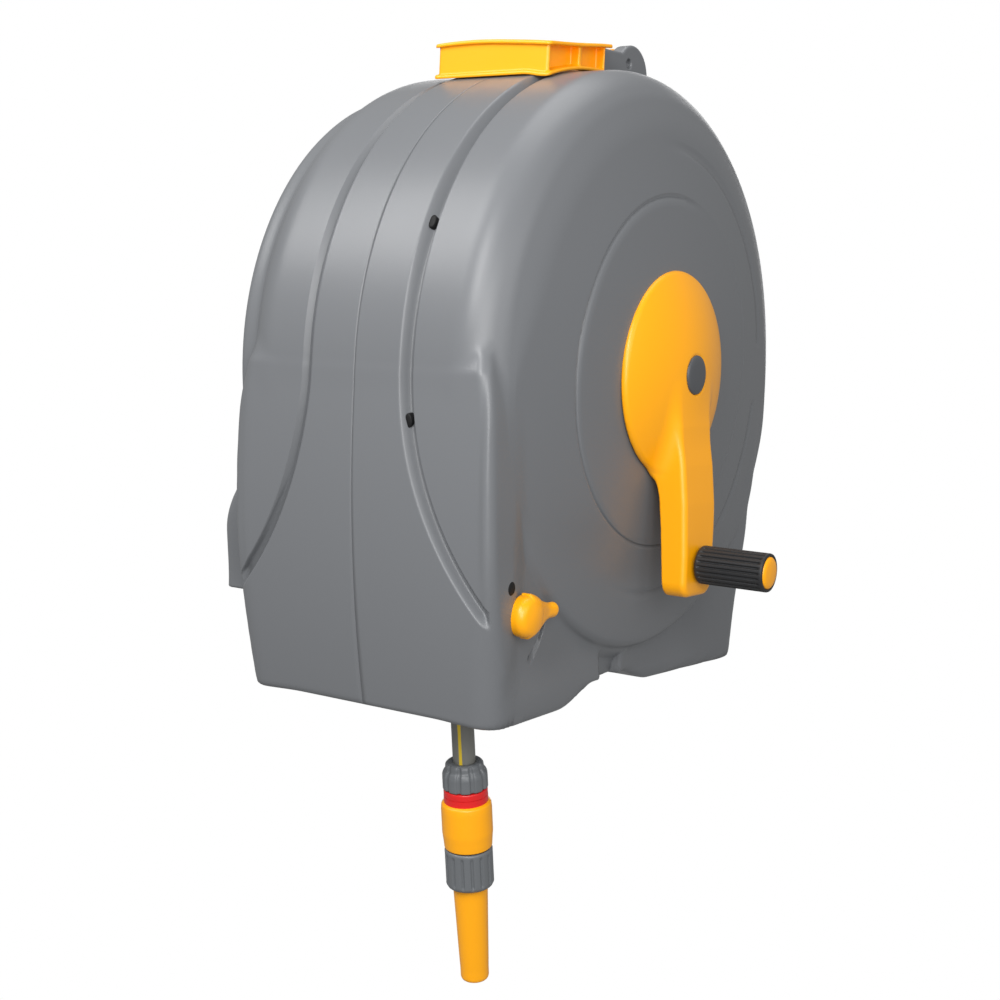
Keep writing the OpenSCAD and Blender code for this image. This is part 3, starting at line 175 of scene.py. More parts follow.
# Zinc plated steel for pins and screws: a bluish grey metal, a little blurred by the plating
steel = makeFinish("zinc_plated_steel", {"colour": "#b4b6b8", "roughness": 0.32, "metallic": 1.0})
# Steel with a thick black coat: the dull coat shows, not the metal
blackScrew = makeFinish("blackened_steel", {"colour": "#0d0d0e", "roughness": 0.65, "ior": 1.4})
# Moulded nitrile rubber for the seals: black and matt
nitrile = makeFinish("nitrile_rubber", {"colour": "#1c1c1d", "roughness": 0.6})
slotMaterials = {
    "shell": shellGrey,
    "grey_plastic": darkGrey,
    "yellow": yellowAbs,
    "grip_black": gripBlack,
    "red": redAbs,
    "hose": hoseGrey,
    "white_plastic": acetal,
    "steel": steel,
    "black_screw": blackScrew,
    "seal": nitrile,
}
nodeSlots = {s["node"]: s["material_slot"] for s in frame["record"]["subparts"]}


def dressNode(name):
    obj = frame["nodes"][name]
    obj.data.materials.clear()
    obj.data.materials.append(slotMaterials[nodeSlots[name]])
    obj.data.shade_smooth()
    sharp = obj.modifiers.new("edges", "WEIGHTED_NORMAL")
    sharp.keep_sharp = True


for name in frame["nodes"]:
    dressNode(name)
print("materials made")


# A field is below 0 inside a shape and about the distance from its surface in mm. roundMax cuts
# one field by another with a rounded edge, and softMin joins two with a hollow blend.
def roundMax(a, b, k):
    u, v = np.maximum(a + k, 0), np.maximum(b + k, 0)
    return np.minimum(np.maximum(a, b), -k) + np.hypot(u, v)


def softMin(a, b, k):
    h = np.maximum(k - np.abs(a - b), 0) / k
    return np.minimum(a, b) - h * h * k / 4


def step(start, end, x):
    t = np.clip((x - start) / (end - start), 0, 1)
    return t * t * (3 - 2 * t)


def makePiece(name, points, faces, material, body, replaces=()):
    mesh = bpy.data.meshes.new(name)
    mesh.from_pydata([tuple(p) for p in toFrame(points)], [], [tuple(f) for f in faces])
    mesh.validate()
    mesh.update()
    mesh.materials.append(material)
    mesh.shade_smooth()
    obj = bpy.data.objects.new(name, mesh)
    bpy.context.scene.collection.objects.link(obj)
    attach(obj, body)
    if replaces:
        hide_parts(*replaces)
    return obj


# Moves points onto the field's zero surface
def settle(field, points, rounds=5, h=0.05):
    p = points.copy()
    for _ in range(rounds):
        value = field(*p.T)
        slope = np.stack(
            [(field(*(p + h * e).T) - field(*(p - h * e).T)) / (2 * h) for e in np.eye(3)], 1
        )
        size = np.maximum((slope**2).sum(1), 0.05)
        p -= np.clip(value / size, -2, 2)[:, None] * slope
    return p


# Closed mesh of a field's zero surface, with one point in each grid cell that it crosses
def netMesh(field, low, high, cell):
    axes = [np.arange(a - 1.5 * cell, b + 2.5 * cell, cell) for a, b in zip(low, high)]
    grid = np.stack(np.meshgrid(*axes, indexing="ij"), -1)
    value = field(grid[..., 0], grid[..., 1], grid[..., 2])
    inside = value < 0
    shape = np.array(value.shape) - 1
    total, count = np.zeros((*shape, 3)), np.zeros(shape)
    corners = [(i, j, k) for i in (0, 1) for j in (0, 1) for k in (0, 1)]

    def cut(corner):
        return tuple(slice(o, o + n) for o, n in zip(corner, shape))

    for a in corners:
        for axis in range(3):
            if a[axis]:
                continue
            b = tuple(v + (1 if n == axis else 0) for n, v in enumerate(a))
            va, vb = value[cut(a)], value[cut(b)]
            crossed = (va < 0) != (vb < 0)
            t = np.where(crossed, va / np.where(crossed, va - vb, 1), 0)
            spot = grid[cut(a)] + t[..., None] * (grid[cut(b)] - grid[cut(a)])
            total += np.where(crossed[..., None], spot, 0)
            count += crossed
    used = count > 0
    number = np.full(shape, -1)
    number[used] = np.arange(used.sum())
    points = total[used] / count[used][:, None]
    faces = []
    for axis in range(3):
        n1, n2 = (axis + 1) % 3, (axis + 2) % 3
        lower = [slice(1, s) for s in shape]
        lower[axis] = slice(0, shape[axis])
        upper = list(lower)
        upper[axis] = slice(1, shape[axis] + 1)
        first, second = inside[tuple(lower)], inside[tuple(upper)]
        for flip in (False, True):
            where = np.argwhere((~first & second) if flip else (first & ~second))
            if not len(where):
                continue
            base = where + 1
            base[:, axis] -= 1
            quad = []
            for d1, d2 in ((0, 0), (1, 0), (1, 1), (0, 1)):
                c = base.copy()
                c[:, n1] -= 1 - d1
                c[:, n2] -= 1 - d2
                quad.append(number[tuple(c.T)])
            quad = np.stack(quad, 1)
            faces.append(quad[:, ::-1] if flip else quad)
    return settle(field, points), np.concatenate(faces)


def axisFrame(origin, direction, up=(1, 0, 0)):
    w = np.array(direction, float) / np.linalg.norm(direction)
    u = np.array(up, float) - np.dot(up, w) * w
    u /= np.linalg.norm(u)
    return np.array(origin, float), u, np.cross(w, u), w


# A turned shape from a profile of (radius, height). rib(angles, height) adds to the radius.
def lathe(profile, place, sides=96, rib=None):
    o, u, v, w = place
    angles = np.arange(sides) * 2 * math.pi / sides
    rows = []
    for r, h in profile:
        radius = np.full(sides, float(r))
        if rib is not None and r > 0.01:
            radius = radius + rib(angles, h)
        across = np.outer(radius * np.cos(angles), u) + np.outer(radius * np.sin(angles), v)
        rows.append(o + across + h * w)
    points = np.concatenate(rows)
    faces = []
    for j in range(len(profile) - 1):
        for i in range(sides):
            a, b = j * sides + i, j * sides + (i + 1) % sides
            faces.append((a, b, b + sides, a + sides))
    return points, faces


# Rounds the inner corners of a lathe profile
def rounded(profile, radius, parts=4):
    out = [profile[0]]
    for a, b, c in zip(profile, profile[1:], profile[2:]):
        a, b, c = (np.array(q, float) for q in (a, b, c))
        k = min(radius, 0.45 * np.linalg.norm(a - b), 0.45 * np.linalg.norm(c - b))
        p = b + (a - b) / np.linalg.norm(a - b) * k
        q = b + (c - b) / np.linalg.norm(c - b) * k
        for t in np.linspace(0, 1, parts + 1):
            out.append(tuple((1 - t) ** 2 * p + 2 * t * (1 - t) * b + t * t * q))
    out.append(profile[-1])
    return out


# Splits a profile's long steps, so that ribs have points to follow
def fine(profile, size=1.2):
    out = [profile[0]]
    for a, b in zip(profile, profile[1:]):
        parts = max(1, int(math.hypot(b[0] - a[0], b[1] - a[1]) / size))
        for t in range(1, parts + 1):
            out.append((a[0] + (b[0] - a[0]) * t / parts, a[1] + (b[1] - a[1]) * t / parts))
    return out


# The casing: a drum housing joined to a foot, in two halves. Pairs are the start and end of a
# fade along the axis that the name gives.
casing = {
    "bandR": 233.0,
    "raise": 2.5,  # the middle band stands proud
    "bandHalf": 39.0,
    "flareR": 255.0,  # the band's edges curve out toward the foot
    "bandSlope": 6.2,
    "bandBackZ": (-60, 0),  # no band low down at the back
    "channelW": 10.0,
    "channelDeep": 5.4,
    "channelSlope": 0.6,
    "channelEndX": (108, 116),
    "slopeLap": 0.5,
    "seamHalf": 0.32,
    "shoulderR": 27.0,
    "panelR": 137.0,
    "panelX": 123.3,
    "panelSlope": 0.06,
    "faceSlope": 0.158,
    "rimR": 220.0,  # the left side's raised round face
    "rimX": 124.0,
    "rimSlope": 0.035,
    "rimLevelR": 214.0,
    "rimBend": 6.0,
    "rimBlend": 3.0,
    "edgeR": 219.0,  # the right side's rim, crisp low down and soft at the top
    "edgeSlope": 0.105,
    "edgeBend": (8.0, 34.0),
    "edgeBlend": (2.0, 16.0),
    "edgeDraw": 2.0,
    "edgeSink": 1.2,
    "edgeZ": (-60, 70),
    "rimStartX": 60.0,
    "footZ": 253.1,
    "footTop": 90.0,
    "footHalf": 119.5,
    "footWideZ": -140.0,
    "footBow": 1800.0,
    "footNarrow": (-44.0, 0.0023),  # draws in above this height, by this much a mm squared
    "footBack": 190.0,
    "backLean": 6.0,
    "backLeanZ": (-200, -110),
    "frontR": 960.0,
    "frontStraight": -30.0,
    "frontTop": (-4.0, 0.35),  # leans back above this height, by this slope
    "waist": 10.5,  # the side is drawn in to a shallow vee
    "waistY": -5.0,
    "waistRound": 0.006,
    "waistReach": 1.04,
    "cornerR": 20.0,
    "cornerTop": (9.0, 16.0),  # radius high up, right and left
    "cornerZ": (-120, -225),
    "underR": 4.5,
    "heelR": 24.0,
    "stripDeep": 7.5,  # a step in the side above the arch
    "stripFrontY": (-50.5, -49),
    "stripBackY": (-12.5, -14),
    "stripTopZ": (-209, -211),
    "recess": 5.0,  # the right side wall lies behind the front corner and the drum's rim
    "recessFrontY": (-200, -172),
    "recessBackY": (-40, 20),
    "recessLowZ": (-244, -208),
    "archH": 11.5,
    "archFrontY": (-112, -56),
    "archBackY": (42, -6),
    "toe": 1.8,  # the front corner reaches lower
    "toeX": (60, 110),
    "toeY": (-60, -120),
    "blend": (2.5, 4.0),  # where the drum meets the foot, right and left, besides 1 mm
    "blendX": (70, 100),
    "blendBack": 6.0,
    "blendBackY": (150, 200),
}
# Lines on the right face. The outer one runs over the back half only, with a gap in its middle.
faceLines = {
    "inX": 100.0,
    "inR": 200.0,
    "ringR": 172.5,
    "ringWide": 8.0,
    "ringDeep": 1.7,
    "gapZ": 2.0,
    "gap": (24, 27),
    "ringHighY": (-25, 35),
    "ringLowY": (-75, 0),
    "panelDeep": 2.4,
    "panelFaint": 0.12,
    "panelY": (50, -20),
}
lever = centreOf("lock_turn")
leverSlot = {"radius": 43.0, "half": 2.8, "lead": 3.0, "sweep": 55.0, "floorX": 106.0}
hoseSlot = {"x": (-59.5, 59.5), "y": (-170.5, -139.0), "z": -230.0}
# Angle up from the front, x and radius of each screw in the seam straps
strapHeads = [(-9.7, 46.9, 234.3), (25.5, 43.9, 231.6), (125.0, 43.9, 231.6), (150.0, 43.9, 231.6)]


def faceX(r):
    c = casing
    out = r - c["panelR"]
    return c["panelX"] - out * np.where(out < 0, c["panelSlope"], c["faceSlope"])


def footHalfAt(z):
    c = casing
    high, rate = c["footNarrow"]
    bow = (z - c["footWideZ"]) ** 2 / (2 * c["footBow"])
    return c["footHalf"] - bow - np.where(z > high, rate * (z - high) ** 2, 0)


def frontAt(z):
    c = casing
    high, slope = c["frontTop"]
    drop = np.maximum(0, c["frontStraight"] - z)
    low = c["bandR"] - (c["frontR"] - np.sqrt(c["frontR"] ** 2 - drop**2))
    return np.where(z > high, low - slope * (z - high), low)


def bandEdge(z, grow):
    c = casing
    low = np.minimum(z, 0)
    r = c["flareR"] - grow
    return c["bandHalf"] + c["flareR"] - np.sqrt(np.maximum(r * r - low * low, 1.0))


# The raised middle band and the channel beside it, which fades out near the foot's corner
def bandHeight(x, z):
    c = casing
    band, channel = bandEdge(z, 0), bandEdge(z, c["channelW"])
    lap, floor = c["slopeLap"], c["raise"] + c["channelDeep"]
    down = floor * step(band - lap, band + c["bandSlope"], x)
    up = c["channelDeep"] * step(channel - lap, channel + c["channelSlope"], x)
    return c["raise"] - (down - up) * (1 - step(*c["channelEndX"], x))


def drumShape(x, y, z, lift, left):
    c = casing
    r = np.hypot(y, z)
    lift = lift * np.where(y > 0, step(*c["bandBackZ"], z), 1.0)
    face = (x - faceX(r)) / math.hypot(1, c["faceSlope"])
    drum = roundMax(r - c["bandR"] - lift, face, c["shoulderR"])
    if left:
        level = c["rimX"] + c["rimSlope"] * (c["rimLevelR"] - r)
        rim = roundMax(r - c["rimR"], x - level, c["rimBend"])
        blend = c["rimBlend"]
    else:
        high = step(*c["edgeZ"], z)
        level = np.where(r < c["panelR"], faceX(r), c["panelX"] - (r - c["panelR"]) * c["edgeSlope"])
        bend, blend = (a + (b - a) * high for a, b in (c["edgeBend"], c["edgeBlend"]))
        rim = roundMax(r - c["edgeR"] + c["edgeDraw"] * high, x - level + c["edgeSink"] * high, bend)
    return softMin(drum, np.maximum(rim, c["rimStartX"] - x), blend)


def footShape(x, y, z, lift, left):
    c = casing
    corner = c["footBack"] + c["backLean"] - c["cornerR"]
    front = -(c["bandR"] + c["raise"]) + c["cornerR"]
    reach = np.where(y < c["waistY"], c["waistY"] - front, corner - c["waistY"])
    vee = np.sqrt(((y - c["waistY"]) / reach) ** 2 + c["waistRound"])
    side = x - footHalfAt(z) + c["waist"] * np.clip(c["waistReach"] - vee, 0, 1)
    strip = step(*c["stripFrontY"], y) * step(*c["stripBackY"], y) * step(*c["stripTopZ"], z)
    side = side + c["stripDeep"] * strip
    if not left:
        behind = np.maximum(step(*c["recessLowZ"], z), step(*c["recessBackY"], y))
        side = side + c["recess"] * step(*c["recessFrontY"], y) * behind
    back = y - c["footBack"] - c["backLean"] * step(*c["backLeanZ"], z)
    ends = np.maximum(-y - frontAt(z) - lift, back)
    toe = c["toe"] * step(*c["toeX"], x) * step(*c["toeY"], y)
    arch = c["archH"] * step(*c["archFrontY"], y) * step(*c["archBackY"], y)
    under = -z - c["footZ"] - toe + arch
    high = c["cornerTop"][1 if left else 0]
    bend = high + (c["cornerR"] - high) * step(*c["cornerZ"], z)
    foot = roundMax(roundMax(side, ends, bend), under, c["underR"])
    foot = roundMax(foot, roundMax(y - c["footBack"], under, c["heelR"]), 2.0)
    return np.maximum(foot, z - c["footTop"])


def casingBase(x, y, z, left=False):
    c = casing
    lift = bandHeight(x, z)
    drum, foot = drumShape(x, y, z, lift, left), footShape(x, y, z, lift, left)
    outer = c["blend"][1 if left else 0] * step(*c["blendX"], x)
    return softMin(drum, foot, 1.0 + outer + c["blendBack"] * step(*c["blendBackY"], y))


def grooves(x, y, z):
    g = faceLines
    r = np.hypot(y, z)
    half = np.where(z > 0, step(*g["ringHighY"], y), step(*g["ringLowY"], y))
    gap = step(*g["gap"], np.abs(z - g["gapZ"])) * half
    wide = r - g["ringR"]
    ring = g["ringDeep"] * step(-0.5, 0.5, wide) * np.clip(1 - wide / g["ringWide"], 0, 1) * gap
    faint = g["panelFaint"] + (1 - g["panelFaint"]) * step(*g["panelY"], y)
    panel = g["panelDeep"] * np.exp(-((r - casing["panelR"]) ** 2)) * faint
    return np.where((x > g["inX"]) & (r < g["inR"]), ring + panel, 0)


def casingField(x, y, z, side):
    if side < 0:
        return casingBase(x, y, z, True)
    s = leverSlot
    u, v = y - lever[1], z - lever[2]
    turn = np.degrees(np.arctan2(-v, u))
    track = np.abs(np.hypot(u, v) - s["radius"]) - s["half"]
    ends = np.maximum(-s["lead"] - turn, turn - s["sweep"]) * math.radians(s["radius"])
    slot = np.maximum(np.maximum(track, ends), s["floorX"] - x)
    return np.maximum(casingBase(x, y, z) + grooves(x, y, z), -slot)


# The casing's mesh is a fan of rays from the drum's centre. Columns go round the axis, closer
# together where a cluster (from, to, apart) says so, and rows run from the seam to the face.
casingMesh = {
    "column": 0.62,
    "head": (1.9, 0.2),  # round each strap screw
    "frontCorner": (-56, -34.5, {1: 0.17, -1: 0.4}),
    "footCorners": [(-87, -74, 0.25), (-149, -138, 0.4)],
    "footTurn": -51.5,
    "bandLowZ": -184.0,
    "reach": 235.0,
    "shoulder": (23.6, 28.6),
    "shoulderRow": {1: 0.2, -1: 0.6},
    "shoulderLead": 14,
    "rings": [(203, 178, 12), (177.2, 172.8, 9), (170, 141, 12), (139.4, 134.6, 10), (130, 60, 16)],
    "leftRings": [(55, 34, 6)],
    "near": 100.0,
    "far": 430.0,
    "lip": 0.975,
}


def spread(start, end, size, clusters):
    out = [start]
    while out[-1] < end:
        here = out[-1]
        out.append(here + min([size] + [c[2] for c in clusters if c[0] - c[2] <= here <= c[1]]))
    return np.array(out[:-1] + [end])


# Height of the front at each column, so that rows follow the band's edge and the channel's
def bandRows(phi):
    c, m = casing, casingMesh
    turn = math.radians(m["footTurn"])
    front = (phi < 0) & (phi > turn)
    z = np.zeros_like(phi)
    for _ in range(12):
        z = np.where(front, np.tan(phi) * frontAt(z), 0)
    z = np.maximum(z, m["bandLowZ"])
    below = (phi <= turn) & (phi > -math.pi / 2)
    share = np.clip((phi + math.pi / 2) / (math.pi / 2 + turn), 0, 1)
    z = np.where(below, m["bandLowZ"] * share, z)
    depth = np.where(front | below, np.hypot(frontAt(z), z), c["bandR"])
    return [np.arctan2(bandEdge(z, grow), depth) for grow in (0, c["channelW"])]


def casingRows(phi, side):
    m = casingMesh
    mm = 1 / m["reach"]
    seam = np.full_like(phi, math.atan2(casing["seamHalf"], m["reach"]))
    band, channel = bandRows(phi)
    last = channel + 6.0 * mm
    low = np.maximum(np.full_like(phi, math.radians(m["shoulder"][0])), last + 0.01)
    high = np.maximum(np.full_like(phi, math.radians(m["shoulder"][1])), low + 0.01)
    width = m["shoulder"][1] - m["shoulder"][0]
    rows = [seam]
    for a, b, n in (
        (seam, band - 1.5 * mm, 30),
        (band - 1.5 * mm, band + 4.5 * mm, 9),
        (band + 4.5 * mm, channel - 1.2 * mm, 5),
        (channel - 1.2 * mm, channel + 1.2 * mm, 5),
        (channel + 1.2 * mm, last, 7),
        (last, low, m["shoulderLead"]),
        (low, high, int(width / m["shoulderRow"][side])),
    ):
        rows += [a + (b - a) * k / n for k in range(1, n + 1)]
    for start, end, n in m["rings"] + (m["leftRings"] if side < 0 else []):
        for r in np.linspace(start, end, n):
            a = math.atan2(float(faceX(r)), r)
            if a > math.radians(m["shoulder"][1]) + 0.002:
                # rows stay in order where the channel pushes the shoulder's rows outward
                rows.append(np.maximum(np.full_like(phi, a), high + 0.0005 * (len(rows) - 60)))
    return np.array(rows)


def casingHalf(side):
    c, m = casing, casingMesh
    wide, apart = m["head"]
    clusters = [(a - wide, a + wide, apart) for a, _, _ in strapHeads] + m["footCorners"]
    start, end, corner = m["frontCorner"]
    clusters.append((start, end, corner[side]))
    phi = np.radians(spread(-180, 180, m["column"], clusters)[:-1])
    alpha = casingRows(phi, side)
    ray = np.stack(
        [np.sin(alpha), -np.cos(alpha) * np.cos(phi), np.cos(alpha) * np.sin(phi)], -1
    ).reshape(-1, 3)
    near, far = np.full(len(ray), m["near"]), np.full(len(ray), m["far"])
    for _ in range(26):
        mid = (near + far) / 2
        out = casingField(*(ray * mid[:, None]).T, side) > 0
        far, near = np.where(out, mid, far), np.where(out, near, mid)
    points = ray * ((near + far) / 2)[:, None]
    rows, columns = alpha.shape
    # the edge at the seam turns inward
    lip = points[:columns] * m["lip"]
    lip[:, 0] = c["seamHalf"] * 0.8
    points[:columns, 0] = c["seamHalf"]
    points = np.concatenate([points, lip])
    index = np.arange(rows * columns).reshape(rows, columns)
    a, b = index[:-1], index[1:]
    faces = np.stack([a, np.roll(a, -1, 1), np.roll(b, -1, 1), b], -1).reshape(-1, 4)
    inner = rows * columns + np.arange(columns)
    edge = np.stack([inner, np.roll(inner, -1), np.roll(index[0], -1), index[0]], -1)
    faces = np.concatenate([faces, edge])
    if side < 0:
        points = points * np.array([-1, 1, 1])
        faces = faces[:, ::-1]
    return points, faces[:, ::-1]


# Leaves out the faces over the hose slot in the foot's underside
def openSlot(points, faces):
    s = hoseSlot
    x, y, z = points[faces].mean(1).T
    over = (x > s["x"][0]) & (x < s["x"][1]) & (y > s["y"][0]) & (y < s["y"][1]) & (z < s["z"])
    return faces[~over]


for side, name, node in ((1, "casing_right", "right_shell"), (-1, "casing_left", "left_shell")):
    points, faces = casingHalf(side)
    makePiece(name, points, openSlot(points, faces), shellGrey, "casing", [node])
print("casing made", len(points))

# Ears that carry the handle's pin, measured from the pin: a round top, a sloping back and a low
# web that runs forward beside the tongue
hinge = centreOf("handle_fold")
ear = {
    "inner": 28.0,
    "outer": 40.0,
    "bend": 2.0,
    "arch": (8.0, -8.5, 24.8),
    "front": -15.0,
    "back": 31.5,
    "backLean": 0.5,
    "baseTop": -6.0,
    "web": (-44.0, 8.5, 0.06),
    "webBend": 5.0,
    "floorZ": 207.0,
    "hole": 4.2,
    "holeDeep": 3.5,
    "box": ((12, 206), (116, 271)),
    "cell": 0.8,
}


def earField(x, y, z):
    e = ear
    away, up = y - hinge[1], z - hinge[2]
    archY, archZ, archR = e["arch"]
    webFront, webTop, webSlope = e["web"]
    front = e["front"] - away
    arch = np.maximum(np.hypot(away - archY, up - archZ) - archR, front)
    lean = e["backLean"] * (up - e["baseTop"])
    back = (away - e["back"] + lean) / math.hypot(1, e["backLean"])
    base = np.maximum(np.maximum(front, back), up - e["baseTop"])
    web = roundMax(webFront - away, up - webTop - webSlope * away, e["webBend"])
    arch = np.minimum(arch, np.maximum(web, away))
    middle, half = (e["outer"] + e["inner"]) / 2, (e["outer"] - e["inner"]) / 2
    plate = roundMax(np.minimum(arch, base), np.abs(np.abs(x) - middle) - half, e["bend"])
    plate = roundMax(plate, e["floorZ"] - z, 0.5)
    hole = np.maximum(np.hypot(away, up) - e["hole"], e["outer"] - e["holeDeep"] - np.abs(x))
    return roundMax(plate, -hole, 0.6)


for name, lowX, highX in (("ear_right", 27, 41), ("ear_left", -41, -27)):
    low, high = ear["box"]
    points, faces = netMesh(earField, (lowX, *low), (highX, *high), ear["cell"])
    makePiece(name, points, faces, shellGrey, "casing")
print("ears made")

# The carry handle: a flanged grip beam with a window, on a tongue that turns on the pin
handle = {
    "half": 54.0,
    "front": -84.0,
    "back": 12.0,
    "topY": (-84.0, -80.0, -60.0, -30.0, -6.0, 12.0, 30.0, 62.0),
    "topZ": (248.4, 249.4, 252.0, 256.2, 260.2, 262.6, 264.4, 265.5),
    "swell": 1.4,  # the grip is a little thicker in its middle
    "droop": 3.4,  # and lower toward the crank side
    "droopX": (-20, 56),
    "seatR": 236.5,
    "seatGap": 0.3,
    "seatDrop": 2.4,
    "seatDropX": (30, 50),
    "cornerR": 4.0,
    "edgeR": 1.2,
    "lip": 3.0,
    "inset": 2.6,
    "frontInset": 5.0,
    "pockets": ((-78.5, -37.0), (-33.0, 1.5)),
    "pocketX": 43.5,
    "window": (-36.0, 42.0, 24.0),
    "windowR": 6.0,
    "tongue": 26.5,
    "tongueY": (24.0, 38.0),
    "tongueGap": 0.7,
    "barrel": 12.5,
    "box": ((-55, -85, 218), (55, 76, 272)),
    "cell": 0.9,
}


def handleField(x, y, z):
    h = handle
    top = np.interp(y, h["topY"], h["topZ"])
    top = top + h["swell"] * (1 - np.minimum(np.abs(x) / h["half"], 1) ** 4)
    top = top - h["droop"] * step(*h["droopX"], x)
    seat = np.sqrt(np.maximum(h["seatR"] ** 2 - y * y, 1.0)) + h["seatGap"]
    seat = seat - h["seatDrop"] * step(*h["seatDropX"], x)
    middle, depth = (h["front"] + h["back"]) / 2, (h["back"] - h["front"]) / 2
    wide, deep = np.abs(x) - h["half"], np.abs(y - middle) - depth
    outer = roundMax(wide, deep, h["cornerR"])
    outer = roundMax(outer, np.maximum(z - top, seat - z), h["edgeR"])
    # the groove runs round the sides and back, and is deeper from the back than from the front
    shift = h["frontInset"] / 2
    core = np.abs(y - middle + shift) - depth + h["inset"] + shift
    walls = roundMax(wide + h["inset"], core, 3.0)
    between = np.maximum(z - top + h["lip"], seat + h["lip"] - z)
    body = roundMax(outer, -np.maximum(between, -walls), 1.0)
    mid, half = (top + seat) / 2, (top - seat) / 2 - h["lip"]
    for low, high in h["pockets"]:
        across = np.abs(y - (low + high) / 2) - (high - low) / 2
        pocket = roundMax(roundMax(across, np.abs(z - mid) - half, 1.5), h["pocketX"] - x, 1.0)
        body = roundMax(body, -pocket, 0.9)
    windowY, windowX, windowHalf = h["window"]
    window = roundMax(np.abs(x) - windowX, np.abs(y - windowY) - windowHalf, h["windowR"])
    body = roundMax(body, -window, 1.5)
    tongueY, tongueHalf = h["tongueY"]
    tongue = roundMax(np.abs(x) - h["tongue"], np.abs(y - tongueY) - tongueHalf, 1.0)
    tongue = roundMax(tongue, np.maximum(z - top, seat + h["tongueGap"] - z), 1.5)
    pin = np.hypot(y - hinge[1], z - hinge[2]) - h["barrel"]
    barrel = roundMax(pin, np.abs(x) - h["tongue"], 1.0)
    return np.minimum(body, softMin(tongue, barrel, 3.0))


points, faces = netMesh(handleField, *handle["box"], handle["cell"])
makePiece("handle", points, faces, yellowAbs, "carry_handle", ["carry_handle"])
print("handle made", len(points))

# The crank: a domed disc with an arm that swells out of it. Numbers down the arm are taken at
# the distances below the axis that come first.
crank = {
    "radius": 80.0,
    "back": 128.5,
    "domeR": (0, 16, 30, 45, 60, 70, 78.3, 80),
    "domeX": (151.2, 150.6, 148.6, 145.2, 140.8, 137.2, 133.6, 132.4),
    "rimBend": 2.5,
    "armHalf": 24.0,
    "armShift": 2.5,
    "armShiftZ": (-165, -100),
    "armEnd": -172.3,
    "armStart": -4.0,
    "endR": 12.0,
    "faceAt": ((0, 18, 40, 70, 100, 140, 200), (138.0, 144.0, 151.0, 156.5, 160.0, 162.6, 164.0)),
    "backAt": ((0, 72, 82, 96, 120, 158, 175), (128.5, 129.5, 133.0, 136.6, 139.4, 142.6, 143.8)),
    "armBend": 4.5,
    "blend": 14.0,
    "capX": 149.9,
    "capR": 15.9,
    "capProfile": [
        (0.01, 2.7), (9, 2.55), (13.2, 2.1), (15.0, 1.2), (15.3, 0.3), (15.3, -1.0), (0.01, -1.0)
    ],
    "box": ((127.5, -82, -174), (165.5, 82, 82)),
    "cell": 1.15,
}
domeFit = np.polyfit(np.array(crank["domeR"]) ** 2, crank["domeX"], 3)


def crankField(x, y, z):
    c = crank
    r = np.hypot(y, z)
    face = np.polyval(domeFit, np.minimum(r, 82) ** 2)
    disc = roundMax(roundMax(r - c["radius"], x - face, c["rimBend"]), c["back"] - x, 0.6)
    shift = c["armShift"] * step(*c["armShiftZ"], z)
    outline = roundMax(np.abs(y - shift) - c["armHalf"] - shift, c["armEnd"] - z, c["endR"])
    outline = roundMax(outline, z - c["armStart"], 6.0)
    arm = roundMax(outline, x - np.interp(-z, *c["faceAt"]), c["armBend"])
    arm = roundMax(arm, np.interp(-z, *c["backAt"]) - x, 1.0)
    body = np.maximum(softMin(disc, arm, c["blend"]), c["back"] - x)
    return roundMax(body, -np.maximum(r - c["capR"], c["capX"] - x), 0.5)


points, faces = netMesh(crankField, *crank["box"], crank["cell"])
makePiece("crank_body", points, faces, yellowAbs, "crank", ["crank_arm"])
place = axisFrame((crank["capX"], 0, 0), (1, 0, 0), (0, 0, 1))
points, faces = lathe(crank["capProfile"], place)
makePiece("crank_cap_cover", points, faces, darkGrey, "crank", ["crank_cap"])
print("crank made", len(points))

# The grip: a ribbed rubber sleeve with a yellow end
gripAt = centreOf("grip_spin")
grip = {
    "start": 165.2,
    "end": 222.6,
    "radius": 15.1,
    "ribs": 22,
    "ribDeep": 0.75,
    "startHeights": [0, 0.5, 1.2, 2.0, 2.8, 3.6, 4.5],
    "endHeights": [5, 4.2, 3.4, 2.5, 1.4, 0.6],
    "endX": 222.0,
    "endProfile": [(0.01, 1.9), (8, 1.75), (11.2, 1.2), (12.3, 0.2), (12.5, -1.6), (0.01, -1.6)],
}
gripLength = grip["end"] - grip["start"]


def gripRib(angle, height):
    inside = step(2.0, 4.5, height) * step(gripLength - 2.5, gripLength - 5.0, height)
    return inside * grip["ribDeep"] * (np.tanh(3.2 * np.cos(grip["ribs"] * angle) + 1.2) - 1)


def gripProfile():
    heights = grip["startHeights"] + list(np.linspace(6, gripLength - 6, 12))
    heights += [gripLength - h for h in grip["endHeights"]]
    profile = [(12.0, 0.0)]
    for h in heights:
        start, end = 1.2 * math.exp(-h / 0.5), 1.0 * math.exp(-(gripLength - h) / 0.6)
        profile.append((grip["radius"] - start - end, h))
    return profile + [(13.0, gripLength - 0.3), (12.4, gripLength - 1.5)]


place = axisFrame((grip["start"], gripAt[1], gripAt[2]), (1, 0, 0), (0, 0, 1))
points, faces = lathe(gripProfile(), place, 16 * grip["ribs"], gripRib)
makePiece("grip_cover", points, faces, gripBlack, "grip", ["grip_sleeve"])
place = axisFrame((grip["endX"], gripAt[1], gripAt[2]), (1, 0, 0), (0, 0, 1))
points, faces = lathe(grip["endProfile"], place)
makePiece("grip_end", points, faces, yellowAbs, "grip", ["grip_end_cap"])
print("grip made")

